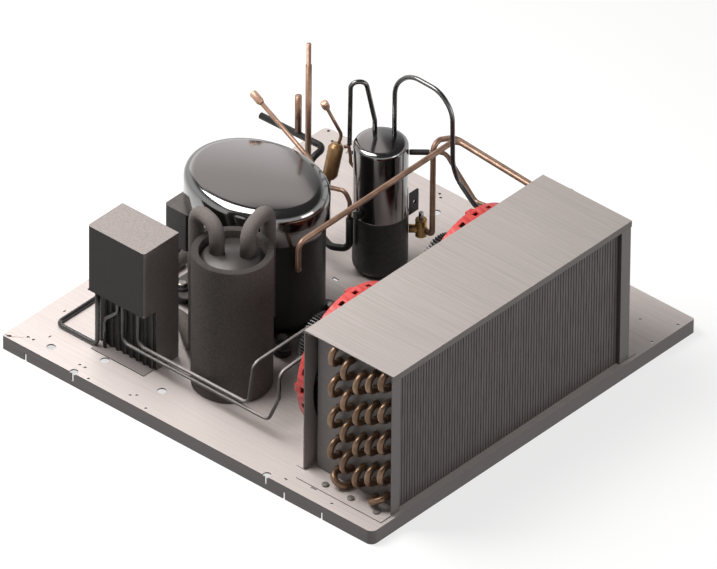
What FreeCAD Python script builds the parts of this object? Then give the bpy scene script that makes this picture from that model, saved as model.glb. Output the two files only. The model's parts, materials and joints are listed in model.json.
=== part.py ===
import FreeCAD, Part
import math
import os
import re
import Sketcher

os.makedirs("parts", exist_ok=True)
doc = FreeCAD.newDocument("condensing_unit")
Vector = FreeCAD.Vector
Rotation = FreeCAD.Rotation
Placement = FreeCAD.Placement

# Driving sizes in millimetres. The origin is the middle of the base plate's underside, +X runs along
# the condenser, +Y from the condenser to the back of the plate and +Z up.
SIZES = [
    ("plate_length", 654), ("plate_width", 665), ("plate_height", 22), ("plate_sheet", 2),
    ("plate_corner", 10), ("bolt_hole_radius", 6.5), ("bolt_column", 277), ("bolt_row_front", 88),
    ("bolt_row_back", 191), ("keyhole_radius", 6), ("keyhole_front", -142.5), ("keyhole_back", 204.5),
    ("keyhole_slot", 4), ("keyhole_drop", 14), ("notch_width", 4), ("notch_height", 11),
    ("screw_radius", 2), ("screw_head", 5), ("screw_head_height", 2.5), ("screw_clearance", 0.3),
    ("coil_left", -282), ("coil_front", -328), ("coil_length", 480), ("coil_depth", 158),
    ("coil_height", 228.6), ("coil_sheet", 1.5), ("left_flange", 14.7), ("right_flange", 17),
    ("end_plate_depth", 146), ("foot_depth", 151.5), ("foot_left", 21), ("foot_right", 15),
    ("foot_screw_inset", 8.5), ("fan_plate_lip", 12), ("fan_plate_hem", 10), ("lip_height", 10),
    ("fin_inset", 7), ("fin_depth", 110), ("fin_pitch", 5.3), ("fin_gap", 2.6), ("fin_groove", 4),
    ("tube_radius", 4.76), ("tube_pitch", 25.4), ("row_pitch", 22), ("row_inset", 18),
    ("tube_height_odd", 19.05), ("tube_height_even", 6.35), ("bend_stub", 6.6),
    ("fan_spacing", 242), ("ring_outer", 105.5), ("ring_wall", 4), ("ring_depth", 25),
    ("window_count", 24), ("window_width", 9), ("window_height", 6), ("window_place", 12),
    ("spoke_width", 12), ("spoke_sheet", 4), ("motor_seat_radius", 38), ("motor_seat_bore", 12),
    ("hub_radius", 30), ("hub_length", 16), ("hub_wall", 3), ("hub_boss", 9), ("hub_inset", 2),
    ("blade_count", 7), ("blade_tip_gap", 3.5), ("blade_pitch_root", 38), ("blade_pitch_tip", 24),
    ("blade_chord_root", 24), ("blade_chord_tip", 60), ("blade_sheet", 1.6), ("blade_camber", 3),
    ("shaft_radius", 3), ("shaft_length", 68), ("running_gap", 0.03), ("touch_gap", 0.3),
    ("motor_core_radius", 32), ("motor_rib_radius", 38), ("motor_length", 56), ("motor_nose", 6),
    ("motor_bore_depth", 44), ("motor_rib_count", 28), ("motor_rib_width", 3),
    ("shell_x", -56), ("shell_y", 116.5), ("shell_half_length", 102), ("shell_half_width", 80),
    ("shell_bottom", 42), ("shell_seam", 194), ("shell_top", 248), ("shell_wall", 3), ("shell_roof", 6),
    ("shell_step", 6), ("shell_lap", 6), ("shell_floor", 12), ("shell_bottom_fillet", 18),
    ("shell_top_fillet", 17), ("foot_half_x", 49), ("foot_inset", 11), ("rail_width", 44),
    ("rail_length", 132), ("rail_sheet", 3), ("rail_corner", 12), ("grommet_radius", 12),
    ("grommet_neck", 8), ("grommet_collar", 4), ("foot_bolt_radius", 4), ("foot_bolt_head", 7),
    ("foot_bolt_head_height", 5), ("stator_radius", 60), ("stator_square", 108), ("stator_bore", 33),
    ("stator_height", 58), ("stator_base", 66), ("spring_radius", 8), ("spring_bore", 5),
    ("spring_place", 38), ("air_gap", 0.5), ("rotor_height", 54), ("crank_radius", 9),
    ("crank_bottom", 58), ("crank_web_radius", 18), ("crank_web", 3.7), ("crank_throw", 9),
    ("pin_radius", 7), ("pin_height", 20), ("bearing_radius", 20), ("bearing_top", 168),
    ("bridge_radius", 58), ("bridge_height", 8), ("cylinder_axis", 182), ("cylinder_radius", 22),
    ("cylinder_start", 30), ("cylinder_bore_end", 66), ("cylinder_end", 74), ("column_width", 36),
    ("piston_radius", 16), ("piston_bore", 13.2), ("piston_start", 34), ("piston_length", 28),
    ("piston_crown", 4), ("rod_length", 45), ("rod_width", 7), ("rod_eye", 12),
    ("cover_left", -125), ("cover_front", 178), ("cover_bottom", 125), ("cover_length", 45),
    ("cover_depth", 44), ("cover_height", 60), ("cover_fillet", 6), ("plug_radius", 5),
    ("sleeve_x", -196), ("sleeve_y", 35), ("sleeve_radius", 55.5), ("sleeve_wall", 10),
    ("sleeve_top", 237), ("vessel_top", 230), ("vessel_shoulder", 8), ("lagging_radius", 10.5),
    ("receiver_x", 133), ("receiver_y", 62), ("receiver_radius", 37.5), ("receiver_cup_radius", 38),
    ("receiver_wall", 3), ("receiver_neck", 6), ("receiver_seam", 115), ("receiver_top", 231),
    ("receiver_fillet", 8), ("receiver_base", 14), ("ear_reach", 45), ("ear_y", 33), ("ear_sheet", 3),
    ("ear_bottom", 106), ("ear_height", 34), ("ear_hole", 3),
    ("valve_height", 85), ("valve_reach", 55), ("valve_nipple", 6), ("valve_radius", 8),
    ("valve_half", 11), ("valve_outlet", 5), ("valve_outlet_end", 12), ("stem_radius", 3),
    ("stem_bottom", 80), ("stem_top", 112), ("stem_square", 5),
    ("box_back", -203.5), ("box_front", -248), ("hood_front", -273), ("box_right", 124.5),
    ("box_left", 226), ("box_top", 226), ("shelf_top", 122), ("box_wall", 2), ("hood_wall", 1.5),
    ("rib_depth", 3), ("rib_width", 4), ("rib_pitch", 12), ("rib_count", 8), ("box_foot", 22),
    ("capacitor_radius", 17.5), ("capacitor_height", 80), ("relay_height", 43), ("relay_width", 26),
    ("terminal_height", 28), ("terminal_width", 18), ("terminal_slot", 4),
    ("switch_left", 150), ("switch_front", -128), ("switch_bottom", 80), ("switch_length", 50),
    ("switch_width", 40), ("switch_height", 70), ("bracket_sheet", 2), ("bracket_foot", 24),
    ("pipe_small", 3.175), ("pipe_medium", 4), ("pipe_large", 4.76), ("pipe_swaged", 4.25),
    ("hose_radius", 3.3), ("sleeving_radius", 5), ("stub_radius", 2.4), ("cable_thick", 3.4),
    ("cable_thin", 2.5), ("elbow_radius", 5), ("bridge_reach", 22), ("return_reach", 32),
    ("drier_radius", 10.5), ("drier_length", 52.2), ("drier_nose", 7), ("drier_cone", 6),
]
sheet = doc.addObject("Spreadsheet::Sheet", "Sizes")
for row, (alias, value) in enumerate(SIZES, start=1):
    sheet.set("A%d" % row, alias)
    sheet.set("B%d" % row, str(value))
    sheet.setAlias("B%d" % row, alias)
doc.recompute()
NAMES = {alias for alias, value in SIZES}


def size(text):
    """Writes an expression of plain size names as one that reads the sheet."""
    def swap(found):
        word = found.group(0)
        return "Sizes." + word if word in NAMES else word
    return re.sub(r"[a-z][a-z_]*", swap, str(text))


class Numbers:
    """Reads a size from the sheet as a number, for the shapes that no sketch or primitive makes."""

    def __getattr__(self, alias):
        return float(sheet.get(alias))


S = Numbers()
parts = {}


def bind(thing, **expressions):
    """Ties properties to the sheet. A double underscore in a name stands for a dot."""
    for name, text in expressions.items():
        thing.setExpression(name.replace("__", "."), size(text))
    return thing


def place(thing, x=0, y=0, z=0, turn=None):
    """Puts a thing at x, y, z, each an expression of size names."""
    thing.Placement = Placement(Vector(0, 0, 0), turn or Rotation())
    return bind(thing, Placement__Base__x=x, Placement__Base__y=y, Placement__Base__z=z)


UPRIGHT = Rotation()
ALONG_Y = Rotation(Vector(1, 0, 0), -90)
ALONG_X = Rotation(Vector(0, 1, 0), 90)


def box(name, x, y, z, length, width, height):
    return place(bind(doc.addObject("Part::Box", name), Length=length, Width=width, Height=height), x, y, z)


def rod(name, x, y, z, radius, height, turn=UPRIGHT):
    return place(bind(doc.addObject("Part::Cylinder", name), Radius=radius, Height=height), x, y, z, turn)


def ring(name, x, y, z, outer, inner, height, turn=UPRIGHT):
    return cut(name, rod(name + "_outside", x, y, z, outer, height, turn),
               rod(name + "_inside", x, y, z, inner, height, turn))


def fuse(name, pieces):
    joined = doc.addObject("Part::MultiFuse", name)
    joined.Shapes = pieces
    return joined


def group(name, pieces):
    together = doc.addObject("Part::Compound", name)
    together.Links = pieces
    return together


def cut(name, base, *tools):
    result = doc.addObject("Part::Cut", name)
    result.Base = base
    result.Tool = tools[0] if len(tools) == 1 else fuse(name + "_tools", list(tools))
    return result


def feature(name, shape):
    made = doc.addObject("Part::Feature", name)
    made.Shape = shape
    return made


def keep(label, thing):
    """Names a finished sub-part; its label is the name of its file."""
    thing.Label = label
    parts[label] = thing
    return thing


def new_body(name):
    return doc.addObject("PartDesign::Body", name)


def sketch_on(body, role, name, offset=0):
    sketch = body.newObject("Sketcher::SketchObject", name)
    plane = [item for item in body.Origin.OriginFeatures if item.Role == role][0]
    sketch.AttachmentSupport = (plane, "")
    sketch.MapMode = "FlatFace"
    if offset:
        bind(sketch, AttachmentOffset__Base__z=offset)
    return sketch


def pin_point(sketch, geometry, point, x, y):
    """Holds one point of a sketch at x, y from the sketch's origin."""
    for kind, text in (("DistanceX", x), ("DistanceY", y)):
        index = sketch.addConstraint(Sketcher.Constraint(kind, -1, 1, geometry, point, 1.0))
        sketch.setExpression("Constraints[%d]" % index, size(text))


def outline(sketch, points):
    """Draws a closed outline of straight sides through points, each a pair of expressions."""
    first = sketch.GeometryCount
    spread = [Vector(100 * math.cos(k), 100 * math.sin(k), 0) for k in range(len(points))]
    for k in range(len(points)):
        sketch.addGeometry(Part.LineSegment(spread[k], spread[(k + 1) % len(points)]), False)
    for k, (x, y) in enumerate(points):
        before = first + (k - 1) % len(points)
        sketch.addConstraint(Sketcher.Constraint("Coincident", before, 2, first + k, 1))
        pin_point(sketch, first + k, 1, x, y)


def rectangle(sketch, x, y, length, width):
    right = "(%s)+(%s)" % (x, length)
    top = "(%s)+(%s)" % (y, width)
    outline(sketch, [(x, y), (right, y), (right, top), (x, top)])


def circle(sketch, x, y, radius):
    index = sketch.addGeometry(Part.Circle(Vector(5, 5, 0), Vector(0, 0, 1), 2), False)
    pin_point(sketch, index, 3, x, y)
    constraint = sketch.addConstraint(Sketcher.Constraint("Radius", index, 2.0))
    sketch.setExpression("Constraints[%d]" % constraint, size(radius))


def ellipse(sketch, half_x, half_y):
    """Draws an ellipse about the sketch's origin whose longer half is along Y."""
    index = sketch.addGeometry(Part.Ellipse(Vector(0, 20, 0), Vector(10, 0, 0), Vector(0, 0, 0)), False)
    sketch.exposeInternalGeometry(index)
    sketch.addConstraint(Sketcher.Constraint("Coincident", index, 3, -1, 1))
    sketch.addConstraint(Sketcher.Constraint("Vertical", index + 1))
    for line, half in ((index + 1, half_y), (index + 2, half_x)):
        constraint = sketch.addConstraint(Sketcher.Constraint("Distance", line, 10.0))
        sketch.setExpression("Constraints[%d]" % constraint, size("2*(%s)" % half))


def pad(body, sketch, name, length, midplane=False, backward=False):
    made = body.newObject("PartDesign::Pad", name)
    made.Profile = sketch
    made.Midplane = midplane
    made.Reversed = backward
    bind(made, Length=length)
    sketch.Visibility = False
    doc.recompute()
    return made


def pocket(body, sketch, name, length=None, midplane=False, backward=False):
    """Cuts a sketch into the body, right through it where no length is given."""
    before = body.Shape.Volume
    made = body.newObject("PartDesign::Pocket", name)
    made.Profile = sketch
    made.Midplane = midplane
    made.Reversed = backward
    if length is None:
        made.Type = "ThroughAll"
    else:
        bind(made, Length=length)
    doc.recompute()
    if body.Shape.Volume > before - 1e-6:
        raise RuntimeError(name + " cuts nothing")
    return made


def revolve(body, sketch, name):
    made = body.newObject("PartDesign::Revolution", name)
    made.Profile = sketch
    made.ReferenceAxis = (sketch, ["V_Axis"])
    made.Angle = 360
    doc.recompute()
    return made


def turned(label, points, x=0, y=0, z=0, turn=UPRIGHT):
    """Makes a round piece from its half section: pairs of radius and height."""
    body = new_body(label)
    sketch = sketch_on(body, "XZ_Plane", label + "_section")
    outline(sketch, points)
    revolve(body, sketch, label + "_revolution")
    return place(body, x, y, z, turn)


def fillet(body, base, name, radius, chosen):
    """Rounds the edges of a feature that the test picks."""
    edges = ["Edge%d" % (k + 1) for k, edge in enumerate(base.Shape.Edges) if chosen(edge)]
    made = body.newObject("PartDesign::Fillet", name)
    made.Base = (base, edges)
    bind(made, Radius=radius)
    doc.recompute()
    return made


def level(edge, height):
    """Tells whether an edge lies flat at a height."""
    bounds = edge.BoundBox
    return abs(bounds.ZMin - height) < 0.01 and abs(bounds.ZMax - height) < 0.01


def upright(edge):
    """Tells whether an edge stands straight up."""
    bounds = edge.BoundBox
    return bounds.XLength < 0.01 and bounds.YLength < 0.01 and bounds.ZLength > 0.1


def pattern(body, made, sketch, axis, pitch, count):
    """Repeats a feature along a sketch axis at a pitch."""
    row = body.newObject("PartDesign::LinearPattern", made.Name + "_row")
    row.Originals = [made]
    row.Direction = (sketch, [axis])
    bind(row, Length="(%s)*((%s)-1)" % (pitch, count), Occurrences=count)
    body.Tip = row
    doc.recompute()
    return body


def polar(body, made, sketch, axis, count, angle=360):
    """Repeats a feature around a sketch axis."""
    circle_of = body.newObject("PartDesign::PolarPattern", made.Name + "_circle")
    circle_of.Originals = [made]
    circle_of.Axis = (sketch, [axis])
    circle_of.Angle = angle
    bind(circle_of, Occurrences=count)
    body.Tip = circle_of
    doc.recompute()
    return circle_of


def bent_path(points, bend):
    """Joins straight runs by tangent arcs of one bend radius, smaller only where a run is too short."""
    edges = []
    start = points[0]
    for k in range(1, len(points) - 1):
        corner = points[k]
        into = corner - points[k - 1]
        onward = points[k + 1] - corner
        half = into.getAngle(onward) / 2
        reach = min(bend * math.tan(half), 0.45 * min(into.Length, onward.Length))
        into.normalize()
        onward.normalize()
        first = corner - into * reach
        last = corner + onward * reach
        radius = reach / math.tan(half)
        inward = (onward - into).normalize()
        middle = corner + inward * (radius / math.cos(half) - radius)
        edges.append(Part.LineSegment(start, first).toShape())
        edges.append(Part.Arc(first, middle, last).toShape())
        start = last
    edges.append(Part.LineSegment(start, points[-1]).toShape())
    return Part.Wire(edges)


def tube(name, points, radius, bend):
    """Makes a round bent tube, cable or hose along a route and tests its volume."""
    route = [Vector(*point) for point in points]
    path = bent_path(route, bend)
    heading = route[1] - route[0]
    section = Part.Wire([Part.makeCircle(radius, route[0], heading)])
    solid = path.makePipeShell([section], True, False)
    expected = math.pi * radius ** 2 * path.Length
    if abs(solid.Volume - expected) > 0.01 * expected:
        raise RuntimeError("%s has the wrong volume" % name)
    return solid


# Sheet-metal frame

FOOT_SCREW_ROWS = ["coil_front+20.4", "coil_front+66", "coil_front+111"]
FOOT_SCREWS = ([("coil_left-foot_screw_inset", row) for row in FOOT_SCREW_ROWS]
               + [("coil_left+coil_length+foot_screw_inset", row) for row in FOOT_SCREW_ROWS])
SHELL_FEET = [("shell_x%sfoot_half_x" % a, "shell_y%s(shell_half_length-foot_inset)" % b)
              for a in "-+" for b in "-+"]

# Places and radii of the plate's smaller holes, which both ends share where the place is a mirror pair.
PAIRED_HOLES = [(302.7, 265.2, 6.5), (321.5, 322.8, 2.2), (307, 303, 2.2), (313, 113, 2), (307, 106, 2)]
SINGLE_HOLES = [(-306.7, 293.8, 2), (-307, 209.5, 2), (-307, 199.9, 2), (-322.7, 179.4, 2),
                (-321, 77.3, 2), (-314.2, -249.7, 2), (276.7, -279.2, 2), (301, -325, 2), (248.3, -324.7, 2)]
SLOTS = [(-230, 307, 5, 2), (-286.6, 282.2, 5, 2), (-314, -167.5, 2, 5), (-305.4, -209.6, 3, 9),
         (70, 86, 5, 9)]


def base_plate():
    body = new_body("base_plate")
    sketch = sketch_on(body, "XY_Plane", "plate_outline")
    rectangle(sketch, "-plate_length/2", "-plate_width/2", "plate_length", "plate_width")
    tray = pad(body, sketch, "plate_pad", "plate_height")
    fillet(body, tray, "plate_corners", "plate_corner", upright)

    hollow = sketch_on(body, "XY_Plane", "plate_hollow")
    x, y = "(plate_length/2-plate_sheet)", "(plate_width/2-plate_sheet)"
    clip = "0.6*plate_corner"
    outline(hollow, [(x, y + "-" + clip), (x + "-" + clip, y), ("-%s+%s" % (x, clip), y),
                     ("-" + x, y + "-" + clip), ("-" + x, "-%s+%s" % (y, clip)),
                     ("-%s+%s" % (x, clip), "-" + y), (x + "-" + clip, "-" + y),
                     (x, "-%s+%s" % (y, clip))])
    pocket(body, hollow, "plate_tray", "plate_height-plate_sheet", backward=True)

    holes = sketch_on(body, "XY_Plane", "plate_holes")
    for side in "-+":
        for row in ("bolt_row_front", "bolt_row_back"):
            circle(holes, side + "bolt_column", row, "bolt_hole_radius")
        for hole_x, hole_y, radius in PAIRED_HOLES:
            circle(holes, side + str(hole_x), hole_y, radius)
    for hole_x, hole_y, radius in SINGLE_HOLES:
        circle(holes, hole_x, hole_y, radius)
    for slot_x, slot_y, length, width in SLOTS:
        rectangle(holes, slot_x - length / 2, slot_y - width / 2, length, width)
    for foot_x, foot_y in SHELL_FEET:
        circle(holes, foot_x, foot_y, "foot_bolt_radius+screw_clearance")
    for foot_x, foot_y in FOOT_SCREWS:
        circle(holes, foot_x, foot_y, "screw_radius+screw_clearance")
    pocket(body, holes, "plate_hole_cut", backward=True)

    keyholes = sketch_on(body, "XY_Plane", "keyholes", "plate_height")
    slits = sketch_on(body, "XY_Plane", "keyhole_slits", "plate_height")
    for row in ("keyhole_front", "keyhole_back"):
        circle(keyholes, "-plate_length/2+keyhole_radius/2", row, "keyhole_radius")
        rectangle(slits, "-plate_length/2-1", row + "-keyhole_slot/2", "plate_sheet+2", "keyhole_slot")
    pocket(body, keyholes, "keyhole_cut", "plate_sheet")
    pocket(body, slits, "keyhole_slit_cut", "keyhole_drop")

    notches = sketch_on(body, "XY_Plane", "flange_notches")
    for row in (290, -175.5, -242.5):
        rectangle(notches, "-plate_length/2-1", "%s-notch_width/2" % row, "plate_sheet+2", "notch_width")
    pocket(body, notches, "notch_cut", "notch_height", backward=True)
    return keep("base_plate", body)


def end_plate(label, side, web, edge, foot, screws):
    """Bends one end sheet: a front flange, a web that carries the tubes and a foot on the plate."""
    body = new_body(label)
    section = sketch_on(body, "XY_Plane", label + "_section", "plate_height")
    front = "coil_front+coil_sheet"
    inner = "%s-(%s)*coil_sheet" % (web, side)
    rear = "coil_front+end_plate_depth"
    outline(section, [(edge, front), (inner, front), (inner, rear), (web, rear),
                      (web, front + "+coil_sheet"), (edge, front + "+coil_sheet")])
    pad(body, section, label + "_web", "coil_height-coil_sheet")
    sole = sketch_on(body, "XY_Plane", label + "_sole", "plate_height")
    outline(sole, [(foot, front), (inner, front), (inner, "coil_front+foot_depth"),
                   (foot, "coil_front+foot_depth")])
    pad(body, sole, label + "_foot", "coil_sheet")
    holes = sketch_on(body, "XY_Plane", label + "_holes", "plate_height")
    for hole_x, hole_y in screws:
        circle(holes, hole_x, hole_y, "screw_radius+screw_clearance")
    pocket(body, holes, label + "_hole_cut", "coil_sheet", backward=True)
    return keep(label, body)


LEFT_WEB = "coil_left+left_flange"
RIGHT_WEB = "coil_left+coil_length-right_flange"


def fin_pack():
    body = new_body("fin_pack")
    sketch = sketch_on(body, "XY_Plane", "fin_outline", "plate_height")
    left = LEFT_WEB + "+coil_sheet"
    length = "coil_length-left_flange-right_flange-2*coil_sheet"
    rectangle(sketch, left, "coil_front+fin_inset", length, "fin_depth")
    pad(body, sketch, "fin_block", "coil_height-coil_sheet")
    groove = sketch_on(body, "XY_Plane", "fin_groove_outline", "plate_height")
    rectangle(groove, left + "+fin_gap", "coil_front+fin_inset-1", "fin_gap", "fin_groove+1")
    cutting = pocket(body, groove, "fin_groove_cut", backward=True)
    return keep("fin_pack", pattern(body, cutting, groove, "H_Axis", "fin_pitch",
                                    "floor((%s-2*fin_gap)/fin_pitch)" % length))


def top_cover():
    body = new_body("top_cover")
    section = sketch_on(body, "YZ_Plane", "cover_section", "coil_left")
    top = "plate_height+coil_height"
    front = "coil_front"
    rear = "coil_front+coil_depth"
    outline(section, [(front, top + "-lip_height"), (front, top), (rear, top), (rear, top + "-coil_sheet"),
                      (front + "+coil_sheet", top + "-coil_sheet"),
                      (front + "+coil_sheet", top + "-lip_height")])
    pad(body, section, "cover_pad", "coil_length")
    return keep("top_cover", body)


FAN_CENTRES = {"left": "coil_left+coil_length/2-fan_spacing/2",
               "right": "coil_left+coil_length/2+fan_spacing/2"}
FAN_HEIGHT = "plate_height+coil_height/2"
FAN_REAR = "coil_front+coil_depth"


def fan_plate():
    body = new_body("fan_plate")
    section = sketch_on(body, "YZ_Plane", "fan_plate_section", "coil_left")
    base = "plate_height"
    top = "plate_height+coil_height-coil_sheet"
    rear = FAN_REAR
    front = FAN_REAR + "-coil_sheet"
    outline(section, [(front, base), (rear + "+fan_plate_lip", base),
                      (rear + "+fan_plate_lip", base + "+coil_sheet"), (rear, base + "+coil_sheet"),
                      (rear, top), (front + "-fan_plate_hem", top),
                      (front + "-fan_plate_hem", top + "-coil_sheet"), (front, top + "-coil_sheet")])
    pad(body, section, "fan_plate_pad", "coil_length")
    openings = sketch_on(body, "XZ_Plane", "fan_openings")
    for centre in FAN_CENTRES.values():
        circle(openings, centre, FAN_HEIGHT, "ring_outer-ring_wall")
    pocket(body, openings, "fan_opening_cut", midplane=True)
    return keep("fan_plate", body)


# Return bends: each joins two tubes one pitch apart. Rows are counted from the fans, tubes from the plate.

BEND_SIDES = 8
BEND_CHORDS = 4
LEFT_BENDS = {1: (1, 3, 5, 7), 2: (1, 3, 5, 7), 3: (0, 2, 4, 6), 4: (1, 3, 5, 7), 5: (1, 3, 5, 7)}
RIGHT_BENDS = {1: (0, 2, 4, 6), 2: (0, 2, 4, 6), 3: (1, 3, 5), 4: (2, 4, 6), 5: (0, 2, 4, 6)}
LEFT_CROSSINGS = [((1, 0), (2, 0)), ((4, 0), (5, 0))]
RIGHT_CROSSINGS = [((2, 8), (3, 7)), ((3, 0), (4, 0)), ((5, 8), (4, 8))]


def tube_end(x, row, level_number):
    """Gives the place where a tube leaves an end sheet."""
    y = S.coil_front + S.row_inset + (5 - row) * S.row_pitch
    first = S.tube_height_odd if row % 2 else S.tube_height_even
    return Vector(x, y, S.plate_height + first + level_number * S.tube_pitch)


def return_bend(start, end, outward):
    """Sweeps one bend: a straight stub, a half turn and a second stub."""
    stub = Vector(outward * S.bend_stub, 0, 0)
    middle = (start + end) * 0.5 + stub
    across = (start - end) * 0.5
    reach = Vector(outward * across.Length, 0, 0)
    points = [start]
    for k in range(BEND_CHORDS + 1):
        angle = math.pi * k / BEND_CHORDS
        points.append(middle + across * math.cos(angle) + reach * math.sin(angle))
    points.append(end)
    path = Part.makePolygon(points)
    corners = []
    for k in range(BEND_SIDES + 1):
        angle = 2 * math.pi * (k + 0.5) / BEND_SIDES
        corners.append(start + Vector(0, S.tube_radius * math.cos(angle), S.tube_radius * math.sin(angle)))
    return path.makePipeShell([Part.makePolygon(corners)], True, False, 1)


def return_bends(label, x, outward, bends, crossings):
    pairs = [((row, k), (row, k + 1)) for row in bends for k in bends[row]] + crossings
    pieces = []
    for start, end in pairs:
        solid = return_bend(tube_end(x, *start), tube_end(x, *end), outward)
        pieces.append(solid)
    return keep(label, feature(label, Part.makeCompound(pieces)))


def screw_at(name, x, y, z, length):
    shank = rod(name + "_shank", x, y, "(%s)-(%s)" % (z, length), "screw_radius", length)
    head = rod(name + "_head", x, y, z, "screw_head", "screw_head_height")
    return fuse(name, [shank, head])


def foot_screws():
    pieces = [screw_at("foot_screw_%d" % k, x, y, "plate_height+coil_sheet", 8)
              for k, (x, y) in enumerate(FOOT_SCREWS)]
    return keep("foot_screws", group("foot_screws", pieces))


base_plate()
end_plate("end_plate_left", "-1", LEFT_WEB, "coil_left", "coil_left-foot_left", FOOT_SCREWS[:3])
end_plate("end_plate_right", "1", RIGHT_WEB, "coil_left+coil_length",
          "coil_left+coil_length+foot_right", FOOT_SCREWS[3:])
fin_pack()
top_cover()
fan_plate()
return_bends("return_bends_left", S.coil_left + S.left_flange, -1, LEFT_BENDS, LEFT_CROSSINGS)
return_bends("return_bends_right", S.coil_left + S.coil_length - S.right_flange, 1, RIGHT_BENDS,
             RIGHT_CROSSINGS)
foot_screws()


# Fans: a plastic ring in front of each motor, an impeller and a shaft that turn together.


def fan_shroud(side):
    label = "fan_shroud_" + side
    body = new_body(label)
    section = sketch_on(body, "XZ_Plane", label + "_section")
    rectangle(section, "ring_outer-ring_wall", "0", "ring_wall", "ring_depth")
    revolve(body, section, label + "_ring")
    window = sketch_on(body, "XZ_Plane", label + "_window")
    rectangle(window, "-window_width/2", "window_place", "window_width", "window_height")
    cutting = pocket(body, window, label + "_window_cut")
    polar(body, cutting, window, "V_Axis", "window_count")
    bar = sketch_on(body, "XY_Plane", label + "_bar", "ring_depth")
    rectangle(bar, "-ring_outer+0.4", "-spoke_width/2", "2*ring_outer-0.8", "spoke_width")
    spokes = pad(body, bar, label + "_spokes", "spoke_sheet")
    polar(body, spokes, bar, "N_Axis", "2", 90)
    seat = sketch_on(body, "XY_Plane", label + "_seat", "ring_depth")
    circle(seat, "0", "0", "motor_seat_radius")
    pad(body, seat, label + "_seat_pad", "spoke_sheet")
    bore = sketch_on(body, "XY_Plane", label + "_bore", "ring_depth")
    circle(bore, "0", "0", "motor_seat_bore")
    body.Tip = pocket(body, bore, label + "_bore_cut", backward=True)
    return keep(label, place(body, FAN_CENTRES[side], FAN_REAR, FAN_HEIGHT, ALONG_Y))


def fan_motor(side):
    label = "fan_motor_" + side
    body = new_body(label)
    section = sketch_on(body, "XZ_Plane", label + "_section")
    bore = "shaft_radius+running_gap"
    outline(section, [(bore, "0"), ("motor_core_radius", "0"),
                      ("motor_core_radius", "motor_length-motor_nose"),
                      ("motor_core_radius-2*motor_nose", "motor_length"), ("0", "motor_length"),
                      ("0", "motor_bore_depth"), (bore, "motor_bore_depth")])
    revolve(body, section, label + "_core")
    rib = sketch_on(body, "XY_Plane", label + "_rib")
    rectangle(rib, "motor_core_radius-1", "-motor_rib_width/2", "motor_rib_radius-motor_core_radius+1",
              "motor_rib_width")
    ribs = pad(body, rib, label + "_rib_pad", "motor_length-motor_nose")
    polar(body, ribs, rib, "N_Axis", "motor_rib_count")
    return keep(label, place(body, FAN_CENTRES[side], FAN_REAR + "+ring_depth+spoke_sheet", FAN_HEIGHT,
                             ALONG_Y))


def blade_section(radius, chord, pitch_angle):
    """Draws a thin cambered section across a blade, at a radius along X."""
    angle = math.radians(pitch_angle)
    along = Vector(0, math.cos(angle), math.sin(angle))
    across = Vector(0, -math.sin(angle), math.cos(angle))
    centre = Vector(radius, 0, S.hub_length / 2)
    half = S.blade_sheet / 2
    places = [(-0.5, 0, -half), (0, S.blade_camber, -half), (0.5, 0, -half),
              (0.5, 0, half), (0, S.blade_camber, half), (-0.5, 0, half)]
    points = [centre + along * (chord * a) + across * (camber + b) for a, camber, b in places]
    return Part.makePolygon(points + points[:1])


def fan_blades():
    """Lofts one twisted blade and repeats it round the hub, trimmed to the running circle."""
    tip = S.ring_outer - S.ring_wall - S.blade_tip_gap
    root = S.hub_radius - S.hub_wall / 2
    sections = []
    for share in (0, 0.5, 1):
        chord = S.blade_chord_root + share * (S.blade_chord_tip - S.blade_chord_root)
        angle = S.blade_pitch_root + share * (S.blade_pitch_tip - S.blade_pitch_root)
        sections.append(blade_section(root + share * (tip + 2 - root), chord, angle))
    blade = Part.makeLoft(sections, True, True)
    trim = Part.makeCylinder(tip, 4 * S.hub_length, Vector(0, 0, -1.5 * S.hub_length))
    blade = blade.common(trim)
    blades = []
    for k in range(int(S.blade_count)):
        turned_blade = blade.copy()
        turned_blade.rotate(Vector(0, 0, 0), Vector(0, 0, 1), 360.0 * k / S.blade_count)
        blades.append(turned_blade)
    return blades


def fan_impeller(side):
    label = "fan_impeller_" + side
    bore = "shaft_radius"
    hub = turned(label + "_hub", [(bore, "0"), ("hub_radius", "0"), ("hub_radius", "hub_length"),
                                  ("hub_radius-hub_wall", "hub_length"), ("hub_radius-hub_wall", "hub_wall"),
                                  ("hub_boss", "hub_wall"), ("hub_boss", "hub_length"), (bore, "hub_length")])
    blades = [feature("%s_blade_%d" % (label, k), blade) for k, blade in enumerate(fan_blades())]
    wheel = fuse(label, [hub] + blades)
    return keep(label, place(wheel, FAN_CENTRES[side], FAN_REAR + "+hub_inset", FAN_HEIGHT, ALONG_Y))


def fan_shaft(side):
    shaft = rod("fan_shaft_" + side, FAN_CENTRES[side], FAN_REAR + "+hub_inset", FAN_HEIGHT, "shaft_radius",
                "shaft_length", ALONG_Y)
    return keep("fan_shaft_" + side, shaft)


# Compressor: a drawn steel shell in two halves round a motor, a crank and one piston.


def lower_shell():
    body = new_body("compressor_lower_shell")
    outside = sketch_on(body, "XY_Plane", "lower_shell_outline")
    ellipse(outside, "shell_half_width", "shell_half_length")
    drum = pad(body, outside, "lower_shell_pad", "shell_seam+shell_lap-shell_bottom")
    fillet(body, drum, "lower_shell_round", "shell_bottom_fillet", lambda edge: level(edge, 0))
    inside = sketch_on(body, "XY_Plane", "lower_shell_inside", "shell_floor")
    ellipse(inside, "shell_half_width-shell_wall", "shell_half_length-shell_wall")
    pocket(body, inside, "lower_shell_hollow", backward=True)
    return keep("compressor_lower_shell", place(body, "shell_x", "shell_y", "shell_bottom"))


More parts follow.
